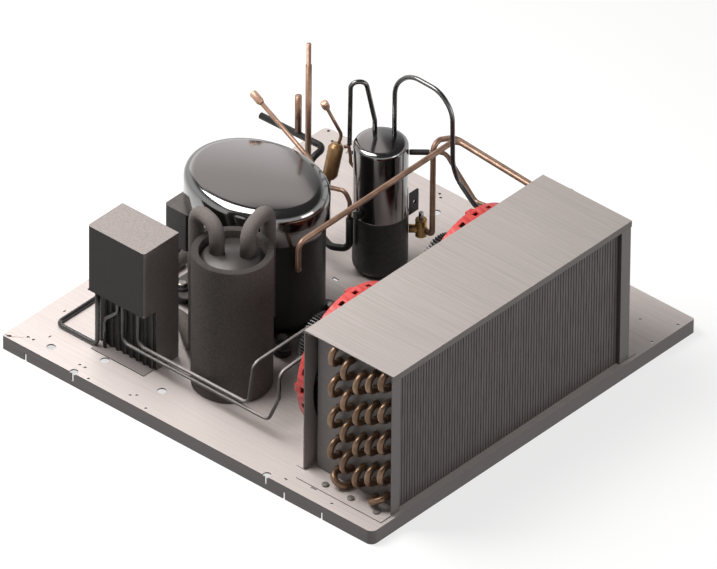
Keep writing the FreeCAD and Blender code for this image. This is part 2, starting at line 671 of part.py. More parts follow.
def upper_shell():
    body = new_body("compressor_upper_shell")
    outside = sketch_on(body, "XY_Plane", "upper_shell_outline")
    ellipse(outside, "shell_half_width+shell_step", "shell_half_length+shell_step")
    cap = pad(body, outside, "upper_shell_pad", "shell_top-shell_seam")
    fillet(body, cap, "upper_shell_round", "shell_top_fillet",
           lambda edge: level(edge, S.shell_top - S.shell_seam))
    inside = sketch_on(body, "XY_Plane", "upper_shell_inside")
    ellipse(inside, "shell_half_width-shell_wall", "shell_half_length-shell_wall")
    pocket(body, inside, "upper_shell_hollow", "shell_top-shell_seam-shell_roof", backward=True)
    lap = sketch_on(body, "XY_Plane", "upper_shell_lap")
    ellipse(lap, "shell_half_width+touch_gap", "shell_half_length+touch_gap")
    pocket(body, lap, "upper_shell_step", "shell_lap", backward=True)
    return keep("compressor_upper_shell", place(body, "shell_x", "shell_y", "shell_seam"))


def foot_rail(name, side):
    body = new_body(name)
    outline_of = sketch_on(body, "XY_Plane", name + "_outline")
    rectangle(outline_of, "-rail_length/2", "-rail_width/2", "rail_length", "rail_width")
    plate = pad(body, outline_of, name + "_pad", "rail_sheet")
    fillet(body, plate, name + "_corners", "rail_corner", upright)
    holes = sketch_on(body, "XY_Plane", name + "_holes")
    for end in "-+":
        circle(holes, end + "foot_half_x", "%s3" % ("+" if side == "+" else "-"), "grommet_neck+touch_gap")
    pocket(body, holes, name + "_hole_cut", backward=True)
    return place(body, "shell_x", "shell_y%s(shell_half_length-foot_inset-3)" % side, "shell_bottom-rail_sheet")


def compressor_feet():
    return keep("compressor_feet", group("compressor_feet", [foot_rail("front_rail", "-"),
                                                             foot_rail("rear_rail", "+")]))


def grommets():
    pieces = []
    bore = "foot_bolt_radius+touch_gap"
    seat = "shell_bottom-rail_sheet-plate_height"
    for k, (x, y) in enumerate(SHELL_FEET):
        pieces.append(turned("grommet_%d" % k, [
            (bore, "0"), ("grommet_radius", "0"), ("grommet_radius", seat), ("grommet_neck", seat),
            ("grommet_neck", seat + "+rail_sheet"), ("grommet_radius-1", seat + "+rail_sheet"),
            ("grommet_radius-2", seat + "+rail_sheet+grommet_collar"),
            (bore, seat + "+rail_sheet+grommet_collar")], x, y, "plate_height"))
    return keep("foot_grommets", group("foot_grommets", pieces))


def foot_bolts():
    pieces = []
    under = "shell_bottom+grommet_collar"
    for k, (x, y) in enumerate(SHELL_FEET):
        low = "plate_height-plate_sheet-foot_bolt_head_height-3"
        shank = rod("foot_bolt_%d_shank" % k, x, y, low, "foot_bolt_radius", "%s-(%s)" % (under, low))
        heads = []
        tops = ((under, "foot_bolt_head_height"), ("plate_height-plate_sheet-foot_bolt_head_height",
                                                   "foot_bolt_head_height"))
        for end, (z, height) in enumerate(tops):
            head = doc.addObject("Part::Prism", "foot_bolt_%d_hexagon_%d" % (k, end))
            head.Polygon = 6
            heads.append(place(bind(head, Circumradius="foot_bolt_head", Height=height), x, y, z))
        pieces.append(fuse("foot_bolt_%d" % k, [shank] + heads))
    return keep("foot_bolts", group("foot_bolts", pieces))


def stator():
    core = doc.addObject("Part::Common", "stator_core")
    core.Base = rod("stator_round", "shell_x", "shell_y", "stator_base", "stator_radius", "stator_height")
    core.Tool = box("stator_flats", "shell_x-stator_square/2", "shell_y-stator_square/2", "stator_base",
                    "stator_square", "stator_square", "stator_height")
    bore = rod("stator_bore_cut", "shell_x", "shell_y", "stator_base", "stator_bore", "stator_height")
    return keep("motor_stator", cut("motor_stator", core, bore))


def suspension_springs():
    pieces = []
    for k, (a, b) in enumerate(("--", "-+", "+-", "++")):
        pieces.append(ring("spring_%d" % k, "shell_x%sspring_place" % a, "shell_y%sspring_place" % b,
                           "shell_bottom+shell_floor", "spring_radius", "spring_bore",
                           "stator_base-shell_bottom-shell_floor"))
    return keep("suspension_springs", group("suspension_springs", pieces))


def rotor():
    return keep("motor_rotor", ring("motor_rotor", "shell_x", "shell_y", "stator_base+2",
                                    "stator_bore-air_gap", "crank_radius", "rotor_height"))


def crankshaft():
    web = "bearing_top+touch_gap"
    pieces = [rod("crank_main", "shell_x", "shell_y", "crank_bottom", "crank_radius", web + "-crank_bottom"),
              rod("crank_disc", "shell_x", "shell_y", web, "crank_web_radius", "crank_web"),
              rod("crank_pin", "shell_x", "shell_y+crank_throw", web + "+crank_web", "pin_radius",
                  "pin_height")]
    return keep("crankshaft", fuse("crankshaft", pieces))


def cylinder_block():
    bridge = "stator_base+stator_height"
    axis = "cylinder_axis"
    start = "shell_y+cylinder_start"
    solid = fuse("block_solid", [
        rod("block_bridge", "shell_x", "shell_y", bridge, "bridge_radius", "bridge_height"),
        rod("block_bearing", "shell_x", "shell_y", bridge, "bearing_radius", "bearing_top-(%s)" % bridge),
        box("block_column", "shell_x-column_width/2", start, bridge, "column_width",
            "cylinder_bore_end-cylinder_start-8", axis + "-(%s)" % bridge),
        rod("block_cylinder", "shell_x", start, axis, "cylinder_radius", "cylinder_end-cylinder_start",
            ALONG_Y)])
    journal = rod("block_journal", "shell_x", "shell_y", bridge + "-1", "crank_radius+running_gap",
                  "bearing_top-(%s)+2" % bridge)
    bore = rod("block_bore", "shell_x", start + "-1", axis, "piston_radius",
               "cylinder_bore_end-cylinder_start+1", ALONG_Y)
    return keep("cylinder_block", cut("cylinder_block", solid, journal, bore))


def piston():
    skirt = "piston_radius-running_gap"
    body = turned("piston", [("piston_bore", "0"), (skirt, "0"), (skirt, "piston_length"),
                             ("0", "piston_length"), ("0", "piston_length-piston_crown"),
                             ("piston_bore", "piston_length-piston_crown")],
                  "shell_x", "shell_y+piston_start", "cylinder_axis", ALONG_Y)
    return keep("piston", body)


def connecting_rod():
    base = "cylinder_axis-rod_width/2"
    pin_y = "shell_y+crank_throw"
    solid = fuse("rod_solid", [
        rod("rod_eye_disc", "shell_x", pin_y, base, "rod_eye", "rod_width"),
        box("rod_shank", "shell_x-rod_width/2", pin_y, base, "rod_width", "rod_length", "rod_width"),
        rod("rod_tip", "shell_x", pin_y + "+rod_length", base, "rod_width/2", "rod_width")])
    hole = rod("rod_hole", "shell_x", pin_y, base + "-1", "pin_radius+running_gap", "rod_width+2")
    return keep("connecting_rod", cut("connecting_rod", solid, hole))


def shell_gauge(name, growth="0"):
    """Makes an oval block a touch gap larger than the compressor, for trimming what sits on its side."""
    body = new_body(name)
    sketch = sketch_on(body, "XY_Plane", name + "_outline")
    ellipse(sketch, "shell_half_width+touch_gap+" + growth, "shell_half_length+touch_gap+" + growth)
    pad(body, sketch, name + "_pad", "shell_top-shell_bottom")
    return place(body, "shell_x", "shell_y", "shell_bottom")


def terminal_cover():
    body = new_body("terminal_cover")
    sketch = sketch_on(body, "XY_Plane", "terminal_cover_outline")
    rectangle(sketch, "cover_left", "cover_front", "cover_length", "cover_depth")
    block = pad(body, sketch, "terminal_cover_pad", "cover_height")
    fillet(body, block, "terminal_cover_round", "cover_fillet", upright)
    place(body, "0", "0", "cover_bottom")
    wall = shell_gauge("terminal_cover_seat")
    return keep("terminal_cover", cut("terminal_cover", body, wall))


for fan_side in ("left", "right"):
    fan_shroud(fan_side)
    fan_motor(fan_side)
    fan_impeller(fan_side)
    fan_shaft(fan_side)
lower_shell()
upper_shell()
compressor_feet()
grommets()
foot_bolts()
stator()
suspension_springs()
rotor()
crankshaft()
cylinder_block()
piston()
connecting_rod()
terminal_cover()


# Vessels


def accumulator():
    inner = "sleeve_radius-sleeve_wall-touch_gap"
    vessel = turned("accumulator_vessel", [
        ("0", "0"), (inner, "0"), (inner, "vessel_top-vessel_shoulder-plate_height"),
        (inner + "-vessel_shoulder", "vessel_top-plate_height"), ("0", "vessel_top-plate_height")],
        "sleeve_x", "sleeve_y", "plate_height")
    keep("accumulator_vessel", vessel)
    keep("accumulator_sleeve", ring("accumulator_sleeve", "sleeve_x", "sleeve_y", "plate_height",
                                    "sleeve_radius", "sleeve_radius-sleeve_wall", "sleeve_top-plate_height"))


def receiver():
    inner = "receiver_radius-receiver_wall"
    cup_inner = inner + "+touch_gap"
    rise = "receiver_seam-plate_height"
    keep("receiver_cup", turned("receiver_cup", [
        ("0", "0"), ("receiver_cup_radius-receiver_base", "0"), ("receiver_cup_radius-receiver_base/3",
                                                                 "receiver_base/4"),
        ("receiver_cup_radius", "receiver_base"), ("receiver_cup_radius", rise), (cup_inner, rise),
        (cup_inner, "receiver_base"), ("receiver_cup_radius-receiver_base", "receiver_wall+1"),
        ("0", "receiver_wall+1")], "receiver_x", "receiver_y", "plate_height"))
    height = "receiver_top-receiver_seam"
    body = new_body("receiver_upper_shell")
    section = sketch_on(body, "XZ_Plane", "receiver_upper_section")
    thin = "receiver_radius-2*receiver_wall"
    outline(section, [(inner, "0"), ("receiver_radius", "0"), ("receiver_radius", height), ("0", height),
                      ("0", height + "-receiver_wall"), (thin, height + "-receiver_wall"),
                      (thin, "-receiver_neck"), (inner, "-receiver_neck")])
    dome = revolve(body, section, "receiver_upper_revolution")
    body.Tip = fillet(body, dome, "receiver_upper_round", "receiver_fillet",
                      lambda edge: level(edge, S.receiver_top - S.receiver_seam)
                      and edge.BoundBox.XLength > 2 * S.receiver_radius - 1)
    keep("receiver_upper_shell", place(body, "receiver_x", "receiver_y", "receiver_seam"))


def receiver_fittings():
    """An ear on the receiver's side and a fusible plug in its wall."""
    tab = box("ear_tab", "receiver_x", "ear_y", "ear_bottom", "ear_reach", "ear_sheet", "ear_height")
    shell_cut = rod("ear_seat", "receiver_x", "receiver_y", "ear_bottom-1", "receiver_cup_radius+touch_gap",
                    "ear_height+2")
    hole = rod("ear_hole_cut", "receiver_x+ear_reach-8", "ear_y-1", "ear_bottom+ear_height/2", "ear_hole",
               "ear_sheet+2", ALONG_Y)
    ear = cut("receiver_ear", tab, shell_cut, hole)
    head = doc.addObject("Part::Prism", "plug_hexagon")
    head.Polygon = 6
    place(bind(head, Circumradius="plug_radius+1.5", Height="5"), "receiver_x-receiver_radius-touch_gap-8",
          "receiver_y+3", "receiver_seam+13", ALONG_X)
    neck = rod("plug_neck", "receiver_x-receiver_radius-touch_gap-4", "receiver_y+3", "receiver_seam+13",
               "plug_radius-1", "4", ALONG_X)
    keep("receiver_fittings", group("receiver_fittings", [ear, fuse("fusible_plug", [head, neck])]))


RADIAL = Vector(0.66, -0.7513, 0)


def valve_place(distance):
    return "receiver_x+%s*(%s)" % (RADIAL.x, distance), "receiver_y%s*(%s)" % (RADIAL.y, distance)


def receiver_valve():
    x, y = valve_place("valve_reach")
    near_x, near_y = valve_place("receiver_cup_radius+touch_gap")
    nipple = rod("valve_nipple_rod", near_x, near_y, "valve_height", "valve_nipple",
                 "valve_reach-receiver_cup_radius", Rotation(Vector(0, 0, 1), RADIAL))
    block = rod("valve_block", x, y, "valve_height-valve_half", "valve_radius", "2*valve_half+4")
    outlet_length = "(%s)-valve_outlet_end" % y
    outlet = rod("valve_outlet_rod", x, y, "valve_height", "valve_outlet", outlet_length,
                 Rotation(Vector(1, 0, 0), 90))
    stem_bore = rod("valve_stem_bore", x, y, "stem_bottom", "stem_radius+running_gap", "stem_top-stem_bottom")
    keep("receiver_valve", cut("receiver_valve", fuse("valve_solid", [nipple, block, outlet]), stem_bore))
    stem = rod("valve_stem_rod", x, y, "stem_bottom", "stem_radius", "stem_top-stem_bottom-5")
    square = box("valve_stem_square", "(%s)-stem_square/2" % x, "(%s)-stem_square/2" % y, "stem_top-7",
                 "stem_square", "stem_square", "7")
    keep("valve_spindle", fuse("valve_spindle", [stem, square]))


accumulator()
receiver()
receiver_fittings()
receiver_valve()


# Pipes and hoses. A route is a list of corners in the plan above, rounded by one bend radius each.

COIL_INLET = tube_end(S.coil_left + S.coil_length - S.right_flange, 1, 8)
COIL_OUTLET = tube_end(S.coil_left + S.coil_length - S.right_flange, 4, 1)
VALVE_X = S.receiver_x + RADIAL.x * S.valve_reach
BRIDGE_X = COIL_INLET.x + S.bridge_reach
RETURN_X = COIL_OUTLET.x + S.return_reach


def pipe(name, radius, points, bend=14):
    return feature(name, tube(name, points, radius, bend))


def seated(name, thing):
    """Trims the end of a pipe to the compressor's oval side."""
    return cut(name, thing, shell_gauge(name + "_seat"))


def discharge_pipe():
    """Hot gas: from the compressor's side up and over to the coil's highest rear tube."""
    hot = pipe("discharge_tube", S.pipe_medium, [
        (-79, 20.7, 149.4), (-115, -10.4, 183.3), (-115, -10.4, 225.7), (BRIDGE_X, -10.4, 228.7),
        (BRIDGE_X, -150, 217), (BRIDGE_X, COIL_INLET.y, COIL_INLET.z), tuple(COIL_INLET)], 12)
    return keep("discharge_pipe", seated("discharge_pipe", hot))


def condensate_pipe():
    """Liquid: from the coil's lowest free tube up, over and down to the receiver's valve."""
    return keep("condensate_pipe", pipe("condensate_pipe", S.pipe_medium, [
        (VALVE_X, S.valve_outlet_end, S.valve_height), (VALVE_X, 0.5, S.valve_height), (VALVE_X, 0.5, 240),
        (RETURN_X, 0.5, 222), (RETURN_X, -150, 209), (RETURN_X, COIL_OUTLET.y, 205),
        (RETURN_X, COIL_OUTLET.y, COIL_OUTLET.z), tuple(COIL_OUTLET)], 12))


def control_pipes():
    switch_top = S.switch_bottom + S.switch_height
    keep("control_pipe", pipe("control_pipe", S.pipe_small, [
        (158, 33.6, 211), (190, -3, 211), (186, -62, 160), (184, -108, 168), (184, -108, switch_top)]))
    keep("control_hose", pipe("control_hose", S.hose_radius, [
        (152, 55, S.receiver_top), (152, 55, 316), (152, 28, 344), (152, -26, 342), (152, -48, 318),
        (152, -50, 220), (156, -88, 180), (162, -108, 172), (162, -108, switch_top)], 60))


DRIER_BOTTOM = Vector(94, 120, 160)
DRIER_AXIS = Vector(15, 0, 50)


def drier():
    nose, cone, body_radius = "drier_nose", "drier_cone", "drier_radius"
    core = turned("drier_core", [
        ("0", "0"), (nose, "0"), (body_radius, cone), (body_radius, "drier_length-drier_cone"),
        (nose, "drier_length"), ("0", "drier_length")],
        DRIER_BOTTOM.x, DRIER_BOTTOM.y, DRIER_BOTTOM.z, Rotation(Vector(0, 0, 1), DRIER_AXIS))
    return keep("drier", core)


def drier_pipes():
    """The pipe from the receiver, the service stub and the pipe on to the liquid line."""
    feed = pipe("drier_inlet_tube", S.stub_radius, [
        (115.8, 113.2, 203.5), (120, 108.5, 206), (119.4, 104.5, 190), (119.4, 104.5, 180),
        (120.5, 94, 172)], 5)
    wall = rod("drier_inlet_seat", "receiver_x", "receiver_y", "receiver_seam+20",
               "receiver_radius+touch_gap", "60")
    stub = pipe("drier_service_tube", S.stub_radius, [
        (112.2, 119, 209.6), (116, 118, 222), (88, 120, 279)], 12)
    outlet = pipe("drier_outlet_tube", S.pipe_small, [
        (93.9, 120, 159.7), (90.3, 120, 147.5), (92, 90, 155), (93, 82, 140), (93, 82, 112)], 12)
    keep("drier_pipes", group("drier_pipes", [cut("drier_inlet_pipe", feed, wall), stub, outlet]))
    keep("charging_hose", pipe("charging_hose", S.hose_radius, [
        (145, 84, S.receiver_top), (145, 84, 246), (135, 92, 312), (119, 105, 312), (119.5, 106.5, 209)], 12))


def cap_on(name, base, axis, radius, length):
    """Turns a closed cap with a narrower nut under its rim."""
    return turned(name, [("0", "0"), (radius + "-1", "0"), (radius + "-1", "2"), (radius, "3"),
                         (radius, "%s-2" % length), (radius + "-1.5", length), ("0", length)],
                  base[0], base[1], base[2], Rotation(Vector(0, 0, 1), Vector(*axis)))


def liquid_line():
    keep("liquid_line", pipe("liquid_line", S.sleeving_radius, [
        (93, 82, 112), (93, 82, 62), (80, 104, 62), (105, 168, 62), (105, 168, 130)], 14))
    swaged = rod("liquid_swage", "105", "168", "130", "pipe_swaged", "188")
    tip = rod("liquid_tip", "105", "168", "318", "pipe_small", "35")
    keep("liquid_stub", fuse("liquid_stub", [swaged, tip]))


def suction_line():
    points = [(120, 267, 180), (120, 152, 182), (97, 152, 178), (70, 172, 110), (60, 235, 50),
              (20, 262, 34), (-40, 262, 34)]
    line = pipe("suction_tube", S.pipe_large, points, 12)
    mouth = feature("suction_mouth", Part.makeCylinder(S.pipe_medium, 25, Vector(120, 268, 180),
                                                       Vector(0, -1, 0)))
    keep("suction_line", cut("suction_line", line, mouth))
    keep("suction_stub", rod("suction_stub", "120", "199.5", "181.2+pipe_large+touch_gap", "pipe_large",
                             "58.3"))


def lagged_pipes():
    top = S.vessel_top
    inlet = pipe("lagged_pipe_inlet", S.lagging_radius, [
        (-206, 54, top), (-206, 54, 272), (-194, 102, 272), (-194, 102, 34), (-150, 165, 34),
        (-146, 235, 34), (-120, 262, 34), (-40, 262, 34)], 21)
    outlet = pipe("lagged_pipe_outlet", S.lagging_radius, [
        (-184, 18.5, top), (-184, 18.5, 272), (-129, 31.4, 272), (-129, 31.4, 95)], 21)
    keep("lagged_pipes", group("lagged_pipes", [inlet, outlet]))


def shell_pipes():
    """The suction elbow and the pipe to the service valve, both brazed to the compressor."""
    elbow = pipe("suction_elbow_tube", S.elbow_radius, [
        (-129, 31.4, 95), (-129, 31.4, 74), (-105, 59.5, 74)], 9)
    service = pipe("service_tube", S.pipe_small, [(24, 104, 214), (44, 105, 219), (45, 199, 272)], 8)
    keep("shell_pipes", group("shell_pipes", [seated("suction_elbow", elbow), cut(
        "service_pipe", service, shell_gauge("service_seat", "shell_step"))]))


def service_caps():
    pieces = [cap_on("service_cap", (45, 199, 272), (1, 94, 53), "5.5", "20"),
              cap_on("drier_stub_cap", (88, 120, 279), (-28, 2, 57), "5.5", "14")]
    keep("service_caps", group("service_caps", pieces))


discharge_pipe()
condensate_pipe()
control_pipes()
drier()
drier_pipes()
liquid_line()
suction_line()
lagged_pipes()
shell_pipes()
service_caps()


# Electrical parts


def electrical_box():
    body = new_body("box_body")
    foot = sketch_on(body, "XY_Plane", "box_foot_outline", "plate_height")
    rectangle(foot, "box_front-box_foot", "box_right+3", "box_foot+10", "box_left-box_right-6")
    pad(body, foot, "box_foot_pad", "coil_sheet")
    outside = sketch_on(body, "XY_Plane", "box_outline", "plate_height")
    rectangle(outside, "box_front", "box_right", "box_back-box_front", "box_left-box_right")
    pad(body, outside, "box_pad", "box_top-plate_height")
    shelf = sketch_on(body, "XY_Plane", "box_shelf_outline", "shelf_top")
    rectangle(shelf, "hood_front", "box_right", "box_front-hood_front+5", "box_left-box_right")
    pad(body, shelf, "box_shelf", "box_wall", backward=True)
    rib = sketch_on(body, "XY_Plane", "box_rib_outline", "plate_height")
    rectangle(rib, "box_front-rib_depth", "box_right+6", "rib_depth+1", "rib_width")
    ribs = pad(body, rib, "box_rib", "shelf_top-plate_height-box_wall")
    pattern(body, ribs, rib, "V_Axis", "rib_pitch", "rib_count")
    width = "box_left-box_right-2*box_wall"
    upper = sketch_on(body, "XY_Plane", "box_upper_outline", "shelf_top")
    rectangle(upper, "box_front-1", "box_right+box_wall", "box_back-box_front-box_wall+1", width)
    pocket(body, upper, "box_upper_room", "box_top-shelf_top-box_wall", backward=True)
    lower = sketch_on(body, "XY_Plane", "box_lower_outline", "plate_height-1")
    rectangle(lower, "box_front+box_wall", "box_right+box_wall", "box_back-box_front-2*box_wall", width)
    body.Tip = pocket(body, lower, "box_lower_room", "shelf_top-plate_height-box_wall-1", backward=True)
    keep("box_body", body)

    hood = new_body("box_hood")
    shape = sketch_on(hood, "XY_Plane", "hood_outline", "shelf_top")
    rectangle(shape, "hood_front", "box_right", "box_front-hood_front", "box_left-box_right")
    cover = pad(hood, shape, "hood_pad", "box_top-shelf_top")
    fillet(hood, cover, "hood_round", "4",
           lambda edge: upright(edge) and edge.BoundBox.XMax < S.hood_front + 1)
    room = sketch_on(hood, "XY_Plane", "hood_room_outline", "shelf_top")
    rectangle(room, "hood_front+hood_wall+2", "box_right+hood_wall+2", "box_front-hood_front",
              "box_left-box_right-2*hood_wall-4")
    hood.Tip = pocket(hood, room, "hood_room", "box_top-shelf_top-hood_wall", backward=True)
    keep("box_hood", hood)


def box_contents():
    keep("start_capacitor", rod("start_capacitor", "box_back-box_wall-capacitor_radius-2",
                                "box_right+box_wall+capacitor_radius+4", "shelf_top", "capacitor_radius",
                                "capacitor_height"))
    keep("start_relay", box("start_relay", "box_back-box_wall-34", "box_right+52", "shelf_top", "34",
                            "relay_width", "relay_height"))
    block = box("terminal_solid", "box_back-box_wall-34", "box_left-box_wall-terminal_width-1", "shelf_top",
                "34", "terminal_width", "terminal_height")
    slots = [box("terminal_slot_%d" % k, "box_back-box_wall-34+3+%d*8" % k,
                 "box_left-box_wall-terminal_width-2", "shelf_top+terminal_height-6", "terminal_slot",
                 "terminal_width+2", "7") for k in range(4)]
    keep("terminal_block", cut("terminal_block", block, *slots))


def pressure_switch():
    keep("pressure_switch", box("pressure_switch", "switch_left", "switch_front", "switch_bottom",
                                "switch_length", "switch_width", "switch_height"))
    body = new_body("switch_bracket")
    section = sketch_on(body, "YZ_Plane", "bracket_section", "switch_left+5")
    back = "switch_front-bracket_sheet"
    outline(section, [(back, "plate_height"), (back + "+bracket_foot", "plate_height"),
                      (back + "+bracket_foot", "plate_height+bracket_sheet"),
                      ("switch_front", "plate_height+bracket_sheet"),
                      ("switch_front", "switch_bottom+switch_height"), (back, "switch_bottom+switch_height")])
    pad(body, section, "bracket_pad", "switch_length-10")
    keep("switch_bracket", body)


def cables():
    shelf = S.shelf_top - S.box_wall
    floor = S.plate_height + S.cable_thick + 0.1
    power = pipe("compressor_cable", S.cable_thick, [
        (-261, 219, shelf), (-261, 219, floor), (-261, 292.5, floor), (-100, 292.5, floor),
        (-100, 288, 60), (-100, 225, 85), (-100, 214, 105), (-100, 214, S.cover_bottom)], 10)
    earth = pipe("earth_lead", S.cable_thin, [
        (-256, 187, shelf), (-256, 187, 92), (-256, 210, 70), (-256, 210, S.plate_height + S.coil_sheet)], 10)
    keep("power_cables", group("power_cables", [power, earth]))
    left_side = S.coil_left + S.coil_length / 2 - S.fan_spacing / 2 - S.motor_rib_radius
    left = pipe("fan_cable_left", S.cable_thin, [
        (-256, 178, shelf), (-256, 178, 47), (-256, -84, 47), (-255, -102, 90), (-254, -102, 131),
        (left_side - S.touch_gap, -102, 134)], 12)
    right = pipe("fan_cable_right", S.cable_thin, [
        (-256, 150, shelf), (-256, 150, 56), (-256, -48, 56), (-256, -57, 126), (-20, -57, 128),
        (20, -100, 136), (left_side + S.fan_spacing - S.touch_gap, -100, 136)], 12)
    keep("fan_cables", group("fan_cables", [left, right]))


electrical_box()
box_contents()
pressure_switch()
cables()

doc.recompute()
for thing in doc.Objects:
    if "Invalid" in thing.State or "Error" in thing.State:
        raise RuntimeError("%s failed" % thing.Name)
for label, thing in parts.items():
    shape = thing.Shape
    if shape.isNull() or not shape.isValid() or not shape.Solids:
        raise RuntimeError("%s has no valid solid" % label)
    shape.exportStep("parts/%s.step" % label)
print("%d sub-parts written" % len(parts))
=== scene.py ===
import json
import math
import random

import bmesh
import bpy
from mathutils import Matrix, Vector

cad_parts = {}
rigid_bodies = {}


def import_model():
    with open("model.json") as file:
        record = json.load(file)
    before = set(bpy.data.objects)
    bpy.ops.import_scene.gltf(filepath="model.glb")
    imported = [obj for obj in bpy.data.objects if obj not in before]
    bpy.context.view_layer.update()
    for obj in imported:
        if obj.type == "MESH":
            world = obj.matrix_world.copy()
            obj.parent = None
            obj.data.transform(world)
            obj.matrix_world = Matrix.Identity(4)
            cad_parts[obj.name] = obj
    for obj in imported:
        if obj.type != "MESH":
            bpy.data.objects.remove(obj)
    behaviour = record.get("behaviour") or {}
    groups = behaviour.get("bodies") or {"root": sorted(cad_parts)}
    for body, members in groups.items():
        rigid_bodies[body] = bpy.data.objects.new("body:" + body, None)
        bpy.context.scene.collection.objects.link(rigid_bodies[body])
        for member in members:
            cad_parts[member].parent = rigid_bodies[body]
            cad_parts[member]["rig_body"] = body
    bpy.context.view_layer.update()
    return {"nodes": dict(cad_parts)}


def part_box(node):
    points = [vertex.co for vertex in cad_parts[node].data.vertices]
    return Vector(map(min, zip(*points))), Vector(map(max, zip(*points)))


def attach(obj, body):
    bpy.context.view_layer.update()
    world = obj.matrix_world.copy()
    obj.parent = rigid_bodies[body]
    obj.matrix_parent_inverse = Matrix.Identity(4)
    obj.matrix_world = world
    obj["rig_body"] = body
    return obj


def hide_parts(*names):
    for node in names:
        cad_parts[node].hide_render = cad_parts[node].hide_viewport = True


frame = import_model()
nodes = frame["nodes"]
MM = 0.001

# Camera
# It stands far off, above the tray's left front corner, so that upright edges stay parallel.
# A slight roll gives the picture the lean that the photograph has.
camera_azimuth = math.radians(-48.674)
camera_elevation = math.radians(35.813)
camera_roll = math.radians(-0.538)
camera_distance = 26.79
camera_aside = 0.0134
camera_raise = 0.0747
backward = Vector((math.sin(camera_azimuth) * math.cos(camera_elevation),
                   -math.cos(camera_azimuth) * math.cos(camera_elevation),
                   math.sin(camera_elevation)))
level_right = Vector((math.cos(camera_azimuth), math.sin(camera_azimuth), 0))
level_up = backward.cross(level_right)
right = math.cos(camera_roll) * level_right - math.sin(camera_roll) * level_up
upward = math.sin(camera_roll) * level_right + math.cos(camera_roll) * level_up
camera_data = bpy.data.cameras.new("camera")
camera_data.lens = 1000
camera_data.sensor_width = 36
camera_data.clip_start = 1
camera_data.clip_end = 100
camera = bpy.data.objects.new("camera", camera_data)
spot = backward * camera_distance + right * camera_aside + upward * camera_raise
camera.matrix_world = Matrix(((right.x, upward.x, backward.x, spot.x),
                              (right.y, upward.y, backward.y, spot.y),
                              (right.z, upward.z, backward.z, spot.z),
                              (0, 0, 0, 1)))
bpy.context.scene.collection.objects.link(camera)
bpy.context.scene.camera = camera
bpy.context.scene.view_settings.view_transform = "Standard"


# Studio light
# A large soft lamp hangs overhead and a weaker one stands far off in front. Glossy pieces alone
# show a bright card behind the object. The surroundings are white low down and dark overhead, so
# that tops are bright and the sides stay calm.
warm_white = (1, 0.97, 0.955)
rosy_white = (1, 0.9, 0.88)
ambient_strength = 0.2
white_below = 0.38
dark_above = 0.6
overhead_dark = (0.06, 0.06, 0.06, 1)


def lamp(name, at, aim, width, height, power, colour, only_gloss=False):
    data = bpy.data.lights.new(name, "AREA")
    data.shape = "RECTANGLE"
    data.size = width
    data.size_y = height
    data.energy = power
    data.color = colour
    thing = bpy.data.objects.new(name, data)
    thing.location = at
    thing.rotation_mode = "QUATERNION"
    thing.rotation_quaternion = (Vector(aim) - Vector(at)).to_track_quat("-Z", "Y")
    thing.visible_diffuse = not only_gloss
    bpy.context.scene.collection.objects.link(thing)


lamp("overhead_lamp", (-0.42, 0.52, 1.32), (0, 0, 0.05), 0.95, 0.95, 30, warm_white)
lamp("rear_card", (0.59, 1.17, 1.0), (0, 0, 0.15), 1.1, 0.9, 3.0, rosy_white, only_gloss=True)
lamp("front_fill", (0.6, -2.3, 0.7), (0, 0, 0.1), 1.2, 1.0, 16, warm_white)


def seen_not_lit(tree):
    """Gives one for camera, mirror and glass rays and nought for the rays that carry light."""
    rays = tree.nodes.new("ShaderNodeLightPath")
    seen = rays.outputs["Is Camera Ray"]
    for kind in ("Is Glossy Ray", "Is Transmission Ray"):
        either = tree.nodes.new("ShaderNodeMath")
        either.operation = "MAXIMUM"
        tree.links.new(seen, either.inputs[0])
        tree.links.new(rays.outputs[kind], either.inputs[1])
        seen = either.outputs[0]
    return seen


world = bpy.data.worlds.new("studio")
world.use_nodes = True
bpy.context.scene.world = world
sky = world.node_tree
ambient = sky.nodes["Background"]
ambient.inputs["Color"].default_value = (1, 1, 1, 1)
ambient.inputs["Strength"].default_value = ambient_strength
backdrop = sky.nodes.new("ShaderNodeBackground")
backdrop.inputs["Strength"].default_value = 1
look = sky.nodes.new("ShaderNodeTexCoord")
direction = sky.nodes.new("ShaderNodeSeparateXYZ")
sky.links.new(look.outputs["Generated"], direction.inputs[0])
ceiling = sky.nodes.new("ShaderNodeValToRGB")
ceiling.color_ramp.elements[0].position = white_below
ceiling.color_ramp.elements[0].color = (1, 1, 1, 1)
ceiling.color_ramp.elements[1].position = dark_above
ceiling.color_ramp.elements[1].color = overhead_dark
sky.links.new(direction.outputs["Z"], ceiling.inputs["Fac"])
sky.links.new(ceiling.outputs["Color"], backdrop.inputs["Color"])
either_sky = sky.nodes.new("ShaderNodeMixShader")
sky.links.new(seen_not_lit(sky), either_sky.inputs[0])
sky.links.new(ambient.outputs[0], either_sky.inputs[1])
sky.links.new(backdrop.outputs[0], either_sky.inputs[2])
sky.links.new(either_sky.outputs[0], sky.nodes["World Output"].inputs["Surface"])

